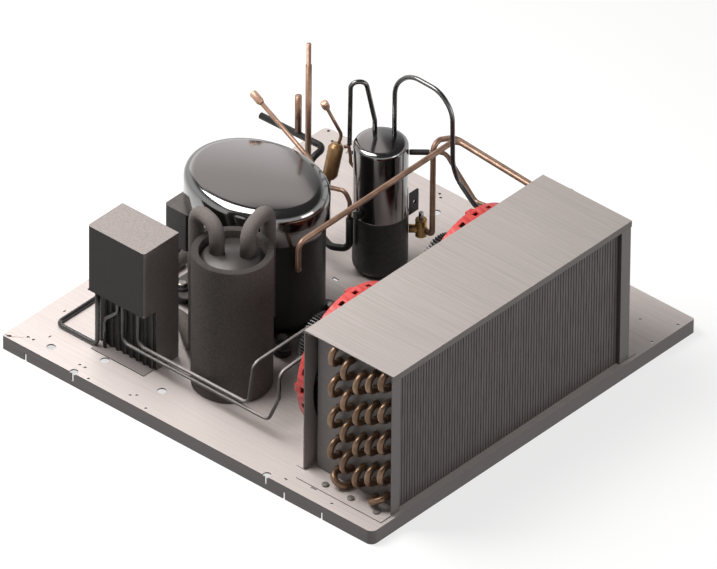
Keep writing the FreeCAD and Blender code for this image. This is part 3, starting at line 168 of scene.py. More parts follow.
# Floor
# A plain pale floor that keeps the tray's shadow. It throws little light back up, so the
# undersides and the sides stay darker than the tops.
floor_half_width = 9
floor_bounce = (0.15, 0.15, 0.15, 1)
floor_seen = (0.32, 0.32, 0.32, 1)
floor_glow = 0.72
floor_shape = bmesh.new()
bmesh.ops.create_grid(floor_shape, x_segments=1, y_segments=1, size=floor_half_width)
floor_mesh = bpy.data.meshes.new("floor")
floor_shape.to_mesh(floor_mesh)
floor_shape.free()
floor = bpy.data.objects.new("floor", floor_mesh)
bpy.context.scene.collection.objects.link(floor)
floor_material = bpy.data.materials.new("pale_floor")
floor_material.use_nodes = True
floor_tree = floor_material.node_tree
floor_tree.nodes.remove(floor_tree.nodes["Principled BSDF"])
bounce = floor_tree.nodes.new("ShaderNodeBsdfDiffuse")
bounce.inputs["Color"].default_value = floor_bounce
pale = floor_tree.nodes.new("ShaderNodeBsdfDiffuse")
pale.inputs["Color"].default_value = floor_seen
lift = floor_tree.nodes.new("ShaderNodeEmission")
lift.inputs["Color"].default_value = (1, 1, 1, 1)
lift.inputs["Strength"].default_value = floor_glow
lifted = floor_tree.nodes.new("ShaderNodeAddShader")
floor_tree.links.new(pale.outputs[0], lifted.inputs[0])
floor_tree.links.new(lift.outputs[0], lifted.inputs[1])
either_floor = floor_tree.nodes.new("ShaderNodeMixShader")
floor_tree.links.new(seen_not_lit(floor_tree), either_floor.inputs[0])
floor_tree.links.new(bounce.outputs[0], either_floor.inputs[1])
floor_tree.links.new(lifted.outputs[0], either_floor.inputs[2])
floor_tree.links.new(either_floor.outputs[0], floor_tree.nodes["Material Output"].inputs["Surface"])
floor_mesh.materials.append(floor_material)


# Base tray
# A tray of zinc-coated sheet, folded down all round, with pressed and punched holes.
# Its face carries the fine streaks of rolled sheet.
grain_roughness = 0.6
coat_roughness = 0.06
dull_share = 1.15
gloss_share = 0.85
cloud_low = 0.35
cloud_high = 0.65
# Slopes of the face normals over which the painted side shade, and the painted tone of faces towards the
# front, fade in.
upright_slope = 0.15
level_slope = 0.85
ahead_from = -0.3
ahead_full = -0.8
merge_distance = 2e-6
speck = 1e-6
flat_angle = math.radians(0.5)
sharp_angle = math.radians(35)
sheet_streaks = (800, 9, 800)


def tone(red, green, blue):
    """Turns a colour as a screen shows it into the shader's linear values."""
    return tuple(((c / 255 + 0.055) / 1.055) ** 2.4 if c > 10 else c / 255 / 12.92
                 for c in (red, green, blue)) + (1,)


def material_of(name, dark, light, grain, roughness, metallic=0.0, relief=0.0, coat=0.0, detail=4,
                low=0.32, high=0.68, specular=0.5, ior=1.5):
    """Spreads two tones of a finish by a noise on object coordinates, with its gloss and relief."""
    material = bpy.data.materials.new(name)
    material.use_nodes = True
    tree = material.node_tree
    shader = tree.nodes["Principled BSDF"]
    shader.inputs["Metallic"].default_value = metallic
    shader.inputs["Specular IOR Level"].default_value = specular
    shader.inputs["IOR"].default_value = ior
    shader.inputs["Coat Weight"].default_value = coat
    shader.inputs["Coat Roughness"].default_value = coat_roughness
    where = tree.nodes.new("ShaderNodeTexCoord")
    spread = tree.nodes.new("ShaderNodeMapping")
    spread.inputs["Scale"].default_value = grain
    tree.links.new(where.outputs["Object"], spread.inputs["Vector"])
    noise = tree.nodes.new("ShaderNodeTexNoise")
    noise.inputs["Scale"].default_value = 1
    noise.inputs["Detail"].default_value = detail
    noise.inputs["Roughness"].default_value = grain_roughness
    tree.links.new(spread.outputs[0], noise.inputs["Vector"])
    tones = tree.nodes.new("ShaderNodeValToRGB")
    tones.color_ramp.elements[0].position = low
    tones.color_ramp.elements[0].color = dark
    tones.color_ramp.elements[1].position = high
    tones.color_ramp.elements[1].color = light
    tree.links.new(noise.outputs["Fac"], tones.inputs["Fac"])
    tree.links.new(tones.outputs["Color"], shader.inputs["Base Color"])
    gloss = tree.nodes.new("ShaderNodeMapRange")
    gloss.inputs["From Min"].default_value = low
    gloss.inputs["From Max"].default_value = high
    gloss.inputs["To Min"].default_value = roughness * dull_share
    gloss.inputs["To Max"].default_value = roughness * gloss_share
    tree.links.new(noise.outputs["Fac"], gloss.inputs["Value"])
    tree.links.new(gloss.outputs["Result"], shader.inputs["Roughness"])
    if relief:
        bump = tree.nodes.new("ShaderNodeBump")
        bump.inputs["Distance"].default_value = relief
        tree.links.new(noise.outputs["Fac"], bump.inputs["Height"])
        tree.links.new(bump.outputs["Normal"], shader.inputs["Normal"])
    return material


def cloud(material, size, dark, light, amount):
    """Lays a second, larger noise over a material's colour, such as stains, dust or a sheen."""
    tree = material.node_tree
    where = tree.nodes.new("ShaderNodeTexCoord")
    noise = tree.nodes.new("ShaderNodeTexNoise")
    noise.inputs["Scale"].default_value = size
    noise.inputs["Detail"].default_value = 3
    tree.links.new(where.outputs["Object"], noise.inputs["Vector"])
    tones = tree.nodes.new("ShaderNodeValToRGB")
    tones.color_ramp.elements[0].position = cloud_low
    tones.color_ramp.elements[0].color = dark
    tones.color_ramp.elements[1].position = cloud_high
    tones.color_ramp.elements[1].color = light
    tree.links.new(noise.outputs["Fac"], tones.inputs["Fac"])
    over = tree.nodes.new("ShaderNodeMix")
    over.data_type = "RGBA"
    over.blend_type = "MULTIPLY"
    over.inputs["Factor"].default_value = amount
    shader = tree.nodes["Principled BSDF"]
    before = shader.inputs["Base Color"].links[0].from_socket
    tree.links.new(before, over.inputs["A"])
    tree.links.new(tones.outputs["Color"], over.inputs["B"])
    tree.links.new(over.outputs["Result"], shader.inputs["Base Color"])


def painted_side_shade(material, amount, front=None):
    """Paints light and shade into a finish's colour by which way a face looks: upright faces get their own
    share of its tone, and faces towards the front another.
    """
    tree = material.node_tree
    facing = tree.nodes.new("ShaderNodeTexCoord")
    parts = tree.nodes.new("ShaderNodeSeparateXYZ")
    tree.links.new(facing.outputs["Normal"], parts.inputs[0])
    level = tree.nodes.new("ShaderNodeMapRange")
    level.interpolation_type = "SMOOTHSTEP"
    level.inputs["From Min"].default_value = upright_slope
    level.inputs["From Max"].default_value = level_slope
    level.inputs["To Min"].default_value = amount
    level.inputs["To Max"].default_value = 1
    tree.links.new(parts.outputs["Z"], level.inputs["Value"])
    scale = level.outputs["Result"]
    if front is not None:
        ahead = tree.nodes.new("ShaderNodeMapRange")
        ahead.inputs["From Min"].default_value = ahead_from
        ahead.inputs["From Max"].default_value = ahead_full
        ahead.inputs["To Min"].default_value = 0
        ahead.inputs["To Max"].default_value = front - amount
        tree.links.new(parts.outputs["Y"], ahead.inputs["Value"])
        total = tree.nodes.new("ShaderNodeMath")
        tree.links.new(scale, total.inputs[0])
        tree.links.new(ahead.outputs["Result"], total.inputs[1])
        scale = total.outputs[0]
    shade = tree.nodes.new("ShaderNodeVectorMath")
    shade.operation = "SCALE"
    shader = tree.nodes["Principled BSDF"]
    tree.links.new(shader.inputs["Base Color"].links[0].from_socket, shade.inputs[0])
    tree.links.new(scale, shade.inputs["Scale"])
    tree.links.new(shade.outputs[0], shader.inputs["Base Color"])


def coated_sheet(name, dark, light, roughness):
    """Makes the finish of zinc-coated sheet, with streaks that run from front to back."""
    return material_of(name, dark, light, sheet_streaks, roughness, metallic=0.2, relief=0.00001, detail=5)


def show(name, shape, material, body="unit", instead=(), smooth=32):
    """Finishes a piece: rounds its shading, gives it its finish and puts it on its body."""
    mesh = bpy.data.meshes.new(name)
    shape.to_mesh(mesh)
    shape.free()
    if smooth:
        mesh.shade_smooth()
        mesh.set_sharp_from_angle(angle=math.radians(smooth))
    mesh.materials.append(material)
    piece = bpy.data.objects.new(name, mesh)
    bpy.context.scene.collection.objects.link(piece)
    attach(piece, body)
    if instead:
        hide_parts(*instead)


def show_for(node, name, shape, material, smooth):
    """Finishes a piece that stands for one CAD node, puts it on that node's body and hides the node."""
    show(name, shape, material, nodes[node]["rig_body"], [node], smooth)


def dressed(node, material, chamfer=0.0, smooth=32, reshape=None):
    """Copies a CAD node with its triangles merged and, where asked, its sharp edges broken."""
    shape = bmesh.new()
    shape.from_mesh(nodes[node].data)
    bmesh.ops.remove_doubles(shape, verts=shape.verts, dist=merge_distance)
    bmesh.ops.dissolve_degenerate(shape, dist=speck, edges=shape.edges)
    if reshape:
        reshape(shape)
    if chamfer:
        bmesh.ops.dissolve_limit(shape, angle_limit=flat_angle, verts=shape.verts, edges=shape.edges)
        sharp = [edge for edge in shape.edges
                 if len(edge.link_faces) == 2 and edge.calc_face_angle(0) > sharp_angle]
        bmesh.ops.bevel(shape, geom=sharp, offset=chamfer, offset_type="OFFSET", affect="EDGES",
                        segments=1, profile=0.5, material=-1, clamp_overlap=True)
        bmesh.ops.triangulate(shape, faces=[face for face in shape.faces if len(face.verts) > 4])
    show_for(node, node + "_shown", shape, material, smooth)


tray_zinc = coated_sheet("rolled_zinc_sheet", tone(204, 196, 193), tone(220, 211, 207), 0.42)
cloud(tray_zinc, 5, (0.94, 0.935, 0.93, 1), (1, 1, 1, 1), 0.8)
# Painted shade: the tray's folded sides are painted darker than its face.
painted_side_shade(tray_zinc, 0.2)
tray_low, tray_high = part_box("base_plate")
corner_round = 10 * MM
corner_tight = 3 * MM


def tighter_corners(shape):
    """Folds the tray's rear left and front right corners tighter, as they are on the real tray."""
    corners = ((-1, tray_low.x, 1, tray_high.y), (1, tray_high.x, -1, tray_low.y))
    for side_x, edge_x, side_y, edge_y in corners:
        for vert in shape.verts:
            along_x = side_x * (vert.co.x - edge_x) + corner_round
            along_y = side_y * (vert.co.y - edge_y) + corner_round
            reach = math.hypot(along_x, along_y)
            if min(along_x, along_y) < -speck or reach < corner_round / 2:
                continue
            closer = (reach - corner_round + corner_tight) / reach
            vert.co.x = edge_x + side_x * (along_x * closer - corner_tight)
            vert.co.y = edge_y + side_y * (along_y * closer - corner_tight)


dressed("base_plate", tray_zinc, smooth=0, reshape=tighter_corners)

# Coil frame
# End sheets, a fan sheet with two round openings and a cover stand round the fins, all cut and
# folded from zinc-coated sheet. The end sheets have narrow flanges in front and feet below.
frame_zinc = coated_sheet("dull_zinc_sheet", tone(196, 188, 185), tone(214, 205, 201), 0.45)
# Painted shade: upright faces of the end sheets and the bracket are painted darker than their tops.
painted_side_shade(frame_zinc, 0.24)
for sheet in ("end_plate_left", "end_plate_right", "switch_bracket"):
    dressed(sheet, frame_zinc, smooth=0)
# The fan sheet has the same finish with its own painted light and shade: upright faces are painted darker,
# but those towards the front nearly as light as its tops, because its front flange lies in shade.
fan_zinc = coated_sheet("fan_plate_zinc", tone(196, 188, 185), tone(214, 205, 201), 0.45)
painted_side_shade(fan_zinc, 0.24, front=0.85)
dressed("fan_plate", fan_zinc, smooth=0)
cover_zinc = coated_sheet("bright_zinc_cover", tone(163, 157, 153), tone(184, 176, 172), 0.4)
cloud(cover_zinc, 5, (0.93, 0.925, 0.92, 1), (1, 1, 1, 1), 0.7)
# Painted shade: the cover's upright faces are painted darker than its top.
painted_side_shade(cover_zinc, 0.3)
dressed("top_cover", cover_zinc, smooth=0)

# Fins and straight tubes
# Thin aluminium fins stand side by side across the coil, pressed onto copper tubes in five
# rows. The fins' edges catch the light, and the gaps between them are dark.
fin_low, fin_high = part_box("fin_pack")
fin_pitch = 5.3 * MM
fin_sheet = 2.2 * MM
fin_thin = 2.1 * MM
fin_inside = 0.4 * MM
fin_back = 0.5 * MM
fin_slack = 0.1 * MM
fin_dull = material_of("dull_fin", tone(80, 75, 73), tone(98, 92, 90), (300, 300, 25), 0.5,
                       metallic=0.3, relief=0.00004)
fins = bmesh.new()
fin_count = int((fin_high.x - fin_low.x) / fin_pitch)
for k in range(fin_count + 1):
    for shift, sheet, back in ((0, fin_sheet, 0), (fin_pitch / 2, fin_thin, fin_back)):
        middle = fin_low.x + fin_sheet / 2 + k * fin_pitch + shift
        if middle + sheet / 2 > fin_high.x + fin_slack:
            continue
        made = bmesh.ops.create_cube(fins, size=1)["verts"]
        size = Vector((sheet, fin_high.y - fin_low.y - 2 * back, fin_high.z - fin_low.z - fin_inside))
        bmesh.ops.scale(fins, vec=size, verts=made)
        bmesh.ops.translate(fins, vec=(middle, (fin_low.y + fin_high.y) / 2, (fin_low.z + fin_high.z) / 2),
                            verts=made)
show("coil_fins", fins, fin_dull, instead=["fin_pack"])

copper_dull = material_of("dull_copper", tone(116, 91, 71), tone(156, 126, 102), (60, 60, 60), 0.36,
                          metallic=0.55, relief=0.00003)
cloud(copper_dull, 22, (0.56, 0.52, 0.46, 1), (1, 1, 1, 1), 0.9)
tube_radius = 4.76 * MM
tube_inset = 4 * MM
tube_sides = 12
tube_smooth = 50
tube_rows = 5
tube_levels = 9
web_left = -267.3 * MM
web_right = 181 * MM
coil_front_mm = -328
row_inset_mm = 18
row_pitch_mm = 22
tray_height_mm = 22
odd_row_mm = 19.05
even_row_mm = 6.35
tube_pitch_mm = 25.4


def tube_place(row, level):
    """Gives a tube's place in the coil: rows from the fans, levels from the tray."""
    y = (coil_front_mm + row_inset_mm + (tube_rows - row) * row_pitch_mm) * MM
    z = (tray_height_mm + (odd_row_mm if row % 2 else even_row_mm) + level * tube_pitch_mm) * MM
    return y, z


tubes = bmesh.new()
for row in range(1, tube_rows + 1):
    for level in range(tube_levels):
        y, z = tube_place(row, level)
        turn = Matrix.Rotation(math.pi / 2, 4, "Y")
        shift = Matrix.Translation(((web_left + web_right) / 2, y, z))
        bmesh.ops.create_cone(tubes, segments=tube_sides, radius1=tube_radius, radius2=tube_radius,
                              depth=web_right - web_left - tube_inset, matrix=shift @ turn)
show("coil_tubes", tubes, copper_dull, smooth=tube_smooth)


# Return bends
# Each bend joins two tubes on the outside of an end sheet. They are bare copper, brazed into
# the flared ends of the tubes, and dull from the heat of the joint.
bend_stub = 6.6 * MM
bend_sides = 18
bend_steps = 14
flare_length = 3.2 * MM
flare_root = 0.4 * MM
flare_lip = 1.1 * MM


def picked(found, kind):
    """Picks the verts or the edges out of what an operator gives back."""
    return [item for item in found if isinstance(item, kind)]


def ring_edges(ring):
    """Gives a ring's edges, each of them once and in the order of its verts."""
    return list(dict.fromkeys(edge for vert in ring for edge in vert.link_edges))


def bend(shape, x, outward, start, end):
    """Adds one bend: a ring is drawn out, turned half round between two tubes and drawn back."""
    first = Vector((x, *tube_place(*start)))
    last = Vector((x, *tube_place(*end)))
    turn = Matrix.Rotation(math.pi / 2, 4, "Y")
    ring = bmesh.ops.create_circle(shape, segments=bend_sides, radius=tube_radius,
                                   matrix=Matrix.Translation(first) @ turn)["verts"]
    edges = ring_edges(ring)
    out = Vector((outward * bend_stub, 0, 0))
    drawn = bmesh.ops.extrude_edge_only(shape, edges=edges)["geom"]
    bmesh.ops.translate(shape, vec=out, verts=picked(drawn, bmesh.types.BMVert))
    centre = (first + last) / 2 + out
    axis = (first - last).cross(Vector((outward, 0, 0))).normalized()
    swept = bmesh.ops.spin(shape, geom=picked(drawn, bmesh.types.BMEdge), cent=centre, axis=axis,
                           angle=math.pi, steps=bend_steps)["geom_last"]
    edges = picked(swept, bmesh.types.BMEdge)
    drawn = bmesh.ops.extrude_edge_only(shape, edges=edges)["geom"]
    bmesh.ops.translate(shape, vec=-out, verts=picked(drawn, bmesh.types.BMVert))


def flare(shape, x, outward, place):
    """Adds the flared end of one tube, which stands out of the sheet round the bend's leg."""
    y, z = tube_place(*place)
    turn = Matrix.Rotation(outward * math.pi / 2, 4, "Y")
    shift = Matrix.Translation((x + outward * flare_length / 2, y, z))
    bmesh.ops.create_cone(shape, segments=bend_sides, radius1=tube_radius + flare_root,
                          radius2=tube_radius + flare_lip, depth=flare_length, matrix=shift @ turn)


bends_left = {1: (1, 3, 5, 7), 2: (1, 3, 5, 7), 3: (0, 2, 4, 6), 4: (1, 3, 5, 7), 5: (1, 3, 5, 7)}
bends_right = {1: (0, 2, 4, 6), 2: (0, 2, 4, 6), 3: (1, 3, 5), 4: (2, 4, 6), 5: (0, 2, 4, 6)}
crossings_left = [((1, 0), (2, 0)), ((4, 0), (5, 0))]
crossings_right = [((2, 8), (3, 7)), ((3, 0), (4, 0)), ((5, 8), (4, 8))]
for side, x, outward, levels, crossings in (
        ("left", web_left, -1, bends_left, crossings_left),
        ("right", web_right, 1, bends_right, crossings_right)):
    pairs = [((row, k), (row, k + 1)) for row in levels for k in levels[row]] + crossings
    bends = bmesh.new()
    flares = bmesh.new()
    for start, end in pairs:
        bend(bends, x, outward, start, end)
        flare(flares, x, outward, start)
        flare(flares, x, outward, end)
    bmesh.ops.recalc_face_normals(bends, faces=bends.faces)
    show("bends_" + side, bends, copper_dull, instead=["return_bends_" + side],
         smooth=tube_smooth)
    show("tube_ends_" + side, flares, copper_dull, smooth=tube_smooth)

# Foot screws
# Six zinc-plated steel screws with plain round heads are driven down through the coil's feet
# into holes that are punched in the tray.
screw_dull = material_of("dull_screw_zinc", tone(96, 92, 89), tone(132, 127, 123), (500, 500, 500), 0.5,
                         metallic=0.2)
fine_edge = 0.3 * MM
dressed("foot_screws", screw_dull, fine_edge)

# Fans
# Each fan has a moulded red ring with slots in its rim, which sits round an opening of the fan
# sheet. Its four spokes carry a black ribbed motor, and a pressed metal impeller turns on the
# motor's shaft.
shroud_red = material_of("red_moulding", tone(182, 50, 47), tone(202, 64, 60), (90, 90, 90), 0.42,
                         relief=0.00005)
motor_black = material_of("motor_black", tone(26, 26, 27), tone(44, 43, 43), (220, 220, 220), 0.4,
                          relief=0.00008)
impeller_metal = material_of("pressed_blade", tone(118, 118, 120), tone(150, 150, 152), (60, 60, 400), 0.38,
                             metallic=0.7)
turned_steel = material_of("turned_steel", tone(140, 140, 140), tone(190, 190, 190), (900, 30, 900), 0.25,
                           metallic=0.9)
motor_ribs = 48
motor_core = 32 * MM
motor_rib_top = 38 * MM
motor_straight = 50 * MM
motor_length = 56 * MM
motor_end_share = 0.62
motor_smooth = 35
rib_width = 1.7 * MM
rib_root = 0.5 * MM
rib_overhang = 3 * MM
shaft_bore = 3.2 * MM
shaft_depth = 44 * MM
plain_edge = 0.5 * MM
round_smooth = 40


def spun(places, axis, steps):
    """Spins a half section all the way round an axis through the origin."""
    shape = bmesh.new()
    verts = [shape.verts.new(place) for place in places]
    edges = [shape.edges.new(pair) for pair in zip(verts, verts[1:])]
    bmesh.ops.spin(shape, geom=verts + edges, cent=(0, 0, 0), axis=axis, angle=2 * math.pi, steps=steps,
                   use_merge=True)
    bmesh.ops.remove_doubles(shape, verts=shape.verts, dist=speck)
    return shape


def motor(side):
    """Spins a motor's casing about its shaft and stands thin cooling ribs round it."""
    node = "fan_motor_" + side
    near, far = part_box(node)
    seat = Vector(((near.x + far.x) / 2, near.y, (near.z + far.z) / 2))
    shape = spun([(0, shaft_depth, 0), (shaft_bore, shaft_depth, 0), (shaft_bore, 0, 0),
                  (motor_core, 0, 0), (motor_core, motor_straight, 0),
                  (motor_core * motor_end_share, motor_length, 0), (0, motor_length, 0)],
                 (0, 1, 0), motor_ribs)
    bmesh.ops.recalc_face_normals(shape, faces=shape.faces)
    rib_depth = motor_rib_top - motor_core + rib_root
    rib_length = motor_straight + rib_overhang
    for k in range(motor_ribs):
        rib = bmesh.ops.create_cube(shape, size=1)["verts"]
        bmesh.ops.scale(shape, vec=(rib_width, rib_length, rib_depth), verts=rib)
        bmesh.ops.translate(shape, vec=(0, rib_length / 2, motor_rib_top - rib_depth / 2), verts=rib)
        bmesh.ops.rotate(shape, verts=rib, cent=(0, 0, 0),
                         matrix=Matrix.Rotation(2 * math.pi * k / motor_ribs, 3, "Y"))
    bmesh.ops.translate(shape, vec=seat, verts=shape.verts)
    show_for(node, "ribbed_motor_" + side, shape, motor_black, motor_smooth)


for side in ("left", "right"):
    dressed("fan_shroud_" + side, shroud_red, plain_edge)
    motor(side)
    dressed("fan_impeller_" + side, impeller_metal, smooth=round_smooth)
    dressed("fan_shaft_" + side, turned_steel, fine_edge)

# Compressor shells
# Two drawn steel halves in gloss black paint. The upper one laps over the lower one and is
# welded to it all round, which leaves a rough bead under its lip.
shell_x = -56 * MM
shell_y = 116.5 * MM
shell_steps = 128
shell_smooth = 45
rounding_steps = 9
lower_half_x = 80 * MM
lower_half_y = 102 * MM
lower_foot = 60 * MM
lower_rounding = 18 * MM
lower_top = 199.5 * MM
upper_half_x = 86 * MM
upper_half_y = 108 * MM
lip_height = 194 * MM
lip_top = 195.2 * MM
crown_foot = 230.5 * MM
crown_rounding = 17 * MM
dome_half_x_mm = 69
dome_half_y_mm = 91
dome_foot_mm = 247.5
dome_rise_mm = 3.4
dome_shares = (0.96, 0.9, 0.82, 0.72, 0.6, 0.46, 0.3, 0.12)
bead_roughness = 0.25
bead_smooth = 60
shell_black = material_of("gloss_black", tone(14, 13, 13), tone(20, 18, 18), (9, 9, 9), 0.13, coat=0.5,
                          relief=0.00008, ior=2.6)
lower_black = material_of("satin_black", tone(20, 19, 18), tone(28, 27, 26), (40, 40, 40), 0.42,
                          relief=0.00006, specular=0.35)


def oval_stack(shape, levels):
    """Draws a round shell up through oval levels: half width, half length and height of each."""
    half_x, half_y, z = levels[0]
    ring = bmesh.ops.create_circle(shape, segments=shell_steps, radius=1)["verts"]
    bmesh.ops.scale(shape, vec=(half_x, half_y, 1), verts=ring)
    bmesh.ops.translate(shape, vec=(shell_x, shell_y, z), verts=ring)
    edges = ring_edges(ring)
    bmesh.ops.contextual_create(shape, geom=edges)
    for (old_x, old_y, old_z), (new_x, new_y, new_z) in zip(levels, levels[1:]):
        drawn = bmesh.ops.extrude_edge_only(shape, edges=edges)["geom"]
        verts = picked(drawn, bmesh.types.BMVert)
        edges = picked(drawn, bmesh.types.BMEdge)
        bmesh.ops.scale(shape, vec=(new_x / old_x, new_y / old_y, 1), verts=verts,
                        space=Matrix.Translation((-shell_x, -shell_y, 0)))
        bmesh.ops.translate(shape, vec=(0, 0, new_z - old_z), verts=verts)
    bmesh.ops.contextual_create(shape, geom=edges)
    bmesh.ops.recalc_face_normals(shape, faces=shape.faces)


def rounded(half_x, half_y, z, radius, rising):
    """Gives the oval levels of a rounded edge, from the side over to the flat."""
    levels = []
    for k in range(rounding_steps + 1):
        angle = math.pi / 2 * k / rounding_steps
        inward = radius * (1 - math.cos(angle))
        levels.append((half_x - inward, half_y - inward, z + rising * radius * math.sin(angle)))
    return levels


lower = bmesh.new()
bottom = rounded(lower_half_x, lower_half_y, lower_foot, lower_rounding, -1)[::-1]
oval_stack(lower, bottom + [(lower_half_x, lower_half_y, lower_top)])
show("lower_shell", lower, lower_black, instead=["compressor_lower_shell"],
     smooth=shell_smooth)
upper = bmesh.new()
lip = [(82 * MM, 104 * MM, lip_height), (85 * MM, 107 * MM, lip_height),
       (upper_half_x, upper_half_y, lip_top)]
crown = rounded(upper_half_x, upper_half_y, crown_foot, crown_rounding, 1)
dome = [(dome_half_x_mm * share * MM, dome_half_y_mm * share * MM,
         (dome_foot_mm + dome_rise_mm * (1 - share * share)) * MM) for share in dome_shares]
oval_stack(upper, lip + crown + dome)
show("upper_shell", upper, shell_black, instead=["compressor_upper_shell"],
     smooth=shell_smooth)

weld = bmesh.new()
random.seed(4)
oval_stack(weld, [(80.4 * MM, 102.4 * MM, lip_height), (81.2 * MM, 103.2 * MM, 191.6 * MM),
                  (83.4 * MM, 105.4 * MM, 191.4 * MM), (85 * MM, 107 * MM, 193.9 * MM)])
for vert in weld.verts:
    vert.co.z += random.uniform(-bead_roughness, bead_roughness) * MM
weld_black = material_of("painted_weld", tone(20, 19, 19), tone(38, 36, 35), (260, 260, 260), 0.35,
                         relief=0.0003)
show("shell_weld", weld, weld_black, smooth=bead_smooth)

# Compressor feet
# Two pressed steel rails under the shell stand on rubber grommets, which keep its shaking off
# the tray. Long zinc-plated bolts go down through both into the tray.
screw_zinc = material_of("screw_zinc", tone(120, 116, 112), tone(170, 165, 160), (500, 500, 500), 0.32,
                         metallic=0.8)
foot_grey = material_of("foot_paint", tone(72, 69, 67), tone(92, 88, 86), (120, 120, 120), 0.45,
                        metallic=0.2, relief=0.00005)
grommet_rubber = material_of("grommet_rubber", tone(30, 29, 29), tone(46, 44, 44), (260, 260, 260), 0.7,
                             relief=0.0001)
dressed("compressor_feet", foot_grey, plain_edge)
dressed("foot_grommets", grommet_rubber, plain_edge)
dressed("foot_bolts", screw_zinc, fine_edge)

# Inside the compressor
# A stator on four springs, a rotor on a crank, and a block with one piston and its rod. They
# are bare machined iron and steel with a film of oil.
bare_iron = material_of("machined_iron", tone(84, 82, 80), tone(120, 117, 114), (300, 300, 60), 0.4,
                        metallic=0.7)
for part in ("motor_stator", "motor_rotor", "cylinder_block"):
    dressed(part, bare_iron, smooth=round_smooth)
for part in ("suspension_springs", "crankshaft", "piston", "connecting_rod"):
    dressed(part, turned_steel, smooth=round_smooth)

# Terminal cover
# A painted grey cap on the shell's side covers the compressor's electrical pins, where its lead
# ends. It is pressed from sheet and clipped on.
cap_smooth = 20
terminal_paint = material_of("terminal_cover_paint", tone(72, 68, 66), tone(84, 80, 77), (90, 90, 90), 0.4,
                             relief=0.00004, specular=0.4)
# Painted shade: the cap's upright faces are painted darker than its top, and those towards the front a little
# less so.
painted_side_shade(terminal_paint, 0.12, front=0.2)
dressed("terminal_cover", terminal_paint, smooth=cap_smooth)

# Accumulator
# A painted steel vessel in a thick sleeve of closed-cell foam, which is cut square at its top.
# Two copper pipes in thinner foam bend over and down into it.
foam_black = material_of("foam_lagging", tone(94, 88, 85), tone(108, 102, 99), (420, 420, 420), 0.85,
                         relief=0.00012, specular=0.25)
shaded_sleeve_foam = material_of("foam_sleeve", tone(56, 52, 50), tone(66, 62, 60), (420, 420, 420), 0.85,
                       relief=0.00012, specular=0.25)
# Painted light and shade: the sleeve's tone is scaled by which way a face looks, so that its cut top is
# painted darker than its sides, and its front faces lighter still.
painted_side_shade(shaded_sleeve_foam, 1.5, front=2.6)
soft_edge = 1.2 * MM
pipe_smooth = 45
dressed("accumulator_sleeve", shaded_sleeve_foam, soft_edge)
vessel_black = material_of("vessel_paint", tone(46, 43, 41), tone(60, 57, 55), (60, 60, 60), 0.4,
                           relief=0.00006)
dressed("accumulator_vessel", vessel_black, smooth=round_smooth)
dressed("lagged_pipes", foam_black, smooth=pipe_smooth)

# Receiver
# A gloss black pressure vessel on a cup, with a brass valve at its foot. Both halves are drawn
# steel with rounded ends, and the upper one stands in the cup's rim, where it is brazed.
receiver_x = 133 * MM
receiver_y = 62 * MM
receiver_steps = 72
corner_steps = 8
small_edge = 0.4 * MM


def turned(name, profile, material, instead=()):
    """Spins a half section, pairs of radius and height in millimetres, about the receiver's axis."""
    shape = spun([(radius * MM, 0, z * MM) for radius, z in profile], (0, 0, 1), receiver_steps)
    bmesh.ops.translate(shape, vec=(receiver_x, receiver_y, 0), verts=shape.verts)
    bmesh.ops.recalc_face_normals(shape, faces=shape.faces)
    show(name, shape, material, instead=instead, smooth=round_smooth)


def rounded_corner(centre_radius, centre_z, radius, start, end):
    """Gives points of a rounded corner of a half section, between two angles in degrees."""
    points = []
    for k in range(corner_steps + 1):
        angle = math.radians(start + (end - start) * k / corner_steps)
        points.append((centre_radius + radius * math.cos(angle), centre_z + radius * math.sin(angle)))
    return points


cup_black = material_of("cup_black", tone(22, 22, 21), tone(31, 31, 30), (150, 150, 150), 0.5, relief=0.00008)
cup_foot = [(0, 22), (24, 22)]
cup_rim = [(38, 115), (37.2, 115.6), (36.4, 115)]
turned("receiver_base_cup", cup_foot + rounded_corner(24, 36, 14, -90, 0) + cup_rim, cup_black,
       ["receiver_cup"])
shell_foot = [(36.3, 110), (37.5, 111)]
shell_top = [(28 * share, 231.2 - 1.2 * share * share) for share in (0.9, 0.75, 0.55, 0.3, 0)]
turned("receiver_shell", shell_foot + rounded_corner(29.5, 222, 8, 0, 86) + shell_top, shell_black,
       ["receiver_upper_shell"])
# A thin bead round the cup's rim in a paler grey than the black around it.
rim_grey = material_of("pale_rim_bead", tone(74, 71, 68), tone(98, 94, 90), (200, 200, 200), 0.4, metallic=0.3)
turned("receiver_rim", [(36.9, 115.4), (37.5, 115.95), (38.1, 115.3)], rim_grey)
dressed("receiver_fittings", lower_black, small_edge)
valve_brass = material_of("valve_brass", tone(150, 118, 70), tone(196, 160, 104), (200, 200, 200), 0.32,
                          metallic=0.7)
dressed("receiver_valve", valve_brass, small_edge)
dressed("valve_spindle", turned_steel, fine_edge)

# Copper pipes
# Bent from soft copper tube and brazed at their ends. The hot gas pipe and the liquid pipe
# bridge the gap to the coil; short stubs with caps serve for filling and testing.
copper_pipe = material_of("copper_pipe", tone(124, 97, 79), tone(168, 137, 117), (45, 45, 45), 0.36,
                          metallic=0.45, relief=0.00002)
cloud(copper_pipe, 16, (0.72, 0.68, 0.64, 1), (1, 1, 1, 1), 0.7)
for pipe in ("discharge_pipe", "condensate_pipe", "shell_pipes", "control_pipe", "drier_pipes",
             "liquid_stub", "suction_stub"):
    dressed(pipe, copper_pipe, smooth=pipe_smooth)
drier_copper = material_of("drier_copper", tone(104, 80, 52), tone(148, 116, 78), (45, 45, 45), 0.36,
                           metallic=0.45, relief=0.00002)
drier_edge = 0.6 * MM
dressed("drier", drier_copper, drier_edge)
cap_copper = material_of("cap_copper", tone(170, 134, 114), tone(204, 168, 146), (120, 120, 120), 0.34,
                         metallic=0.4)
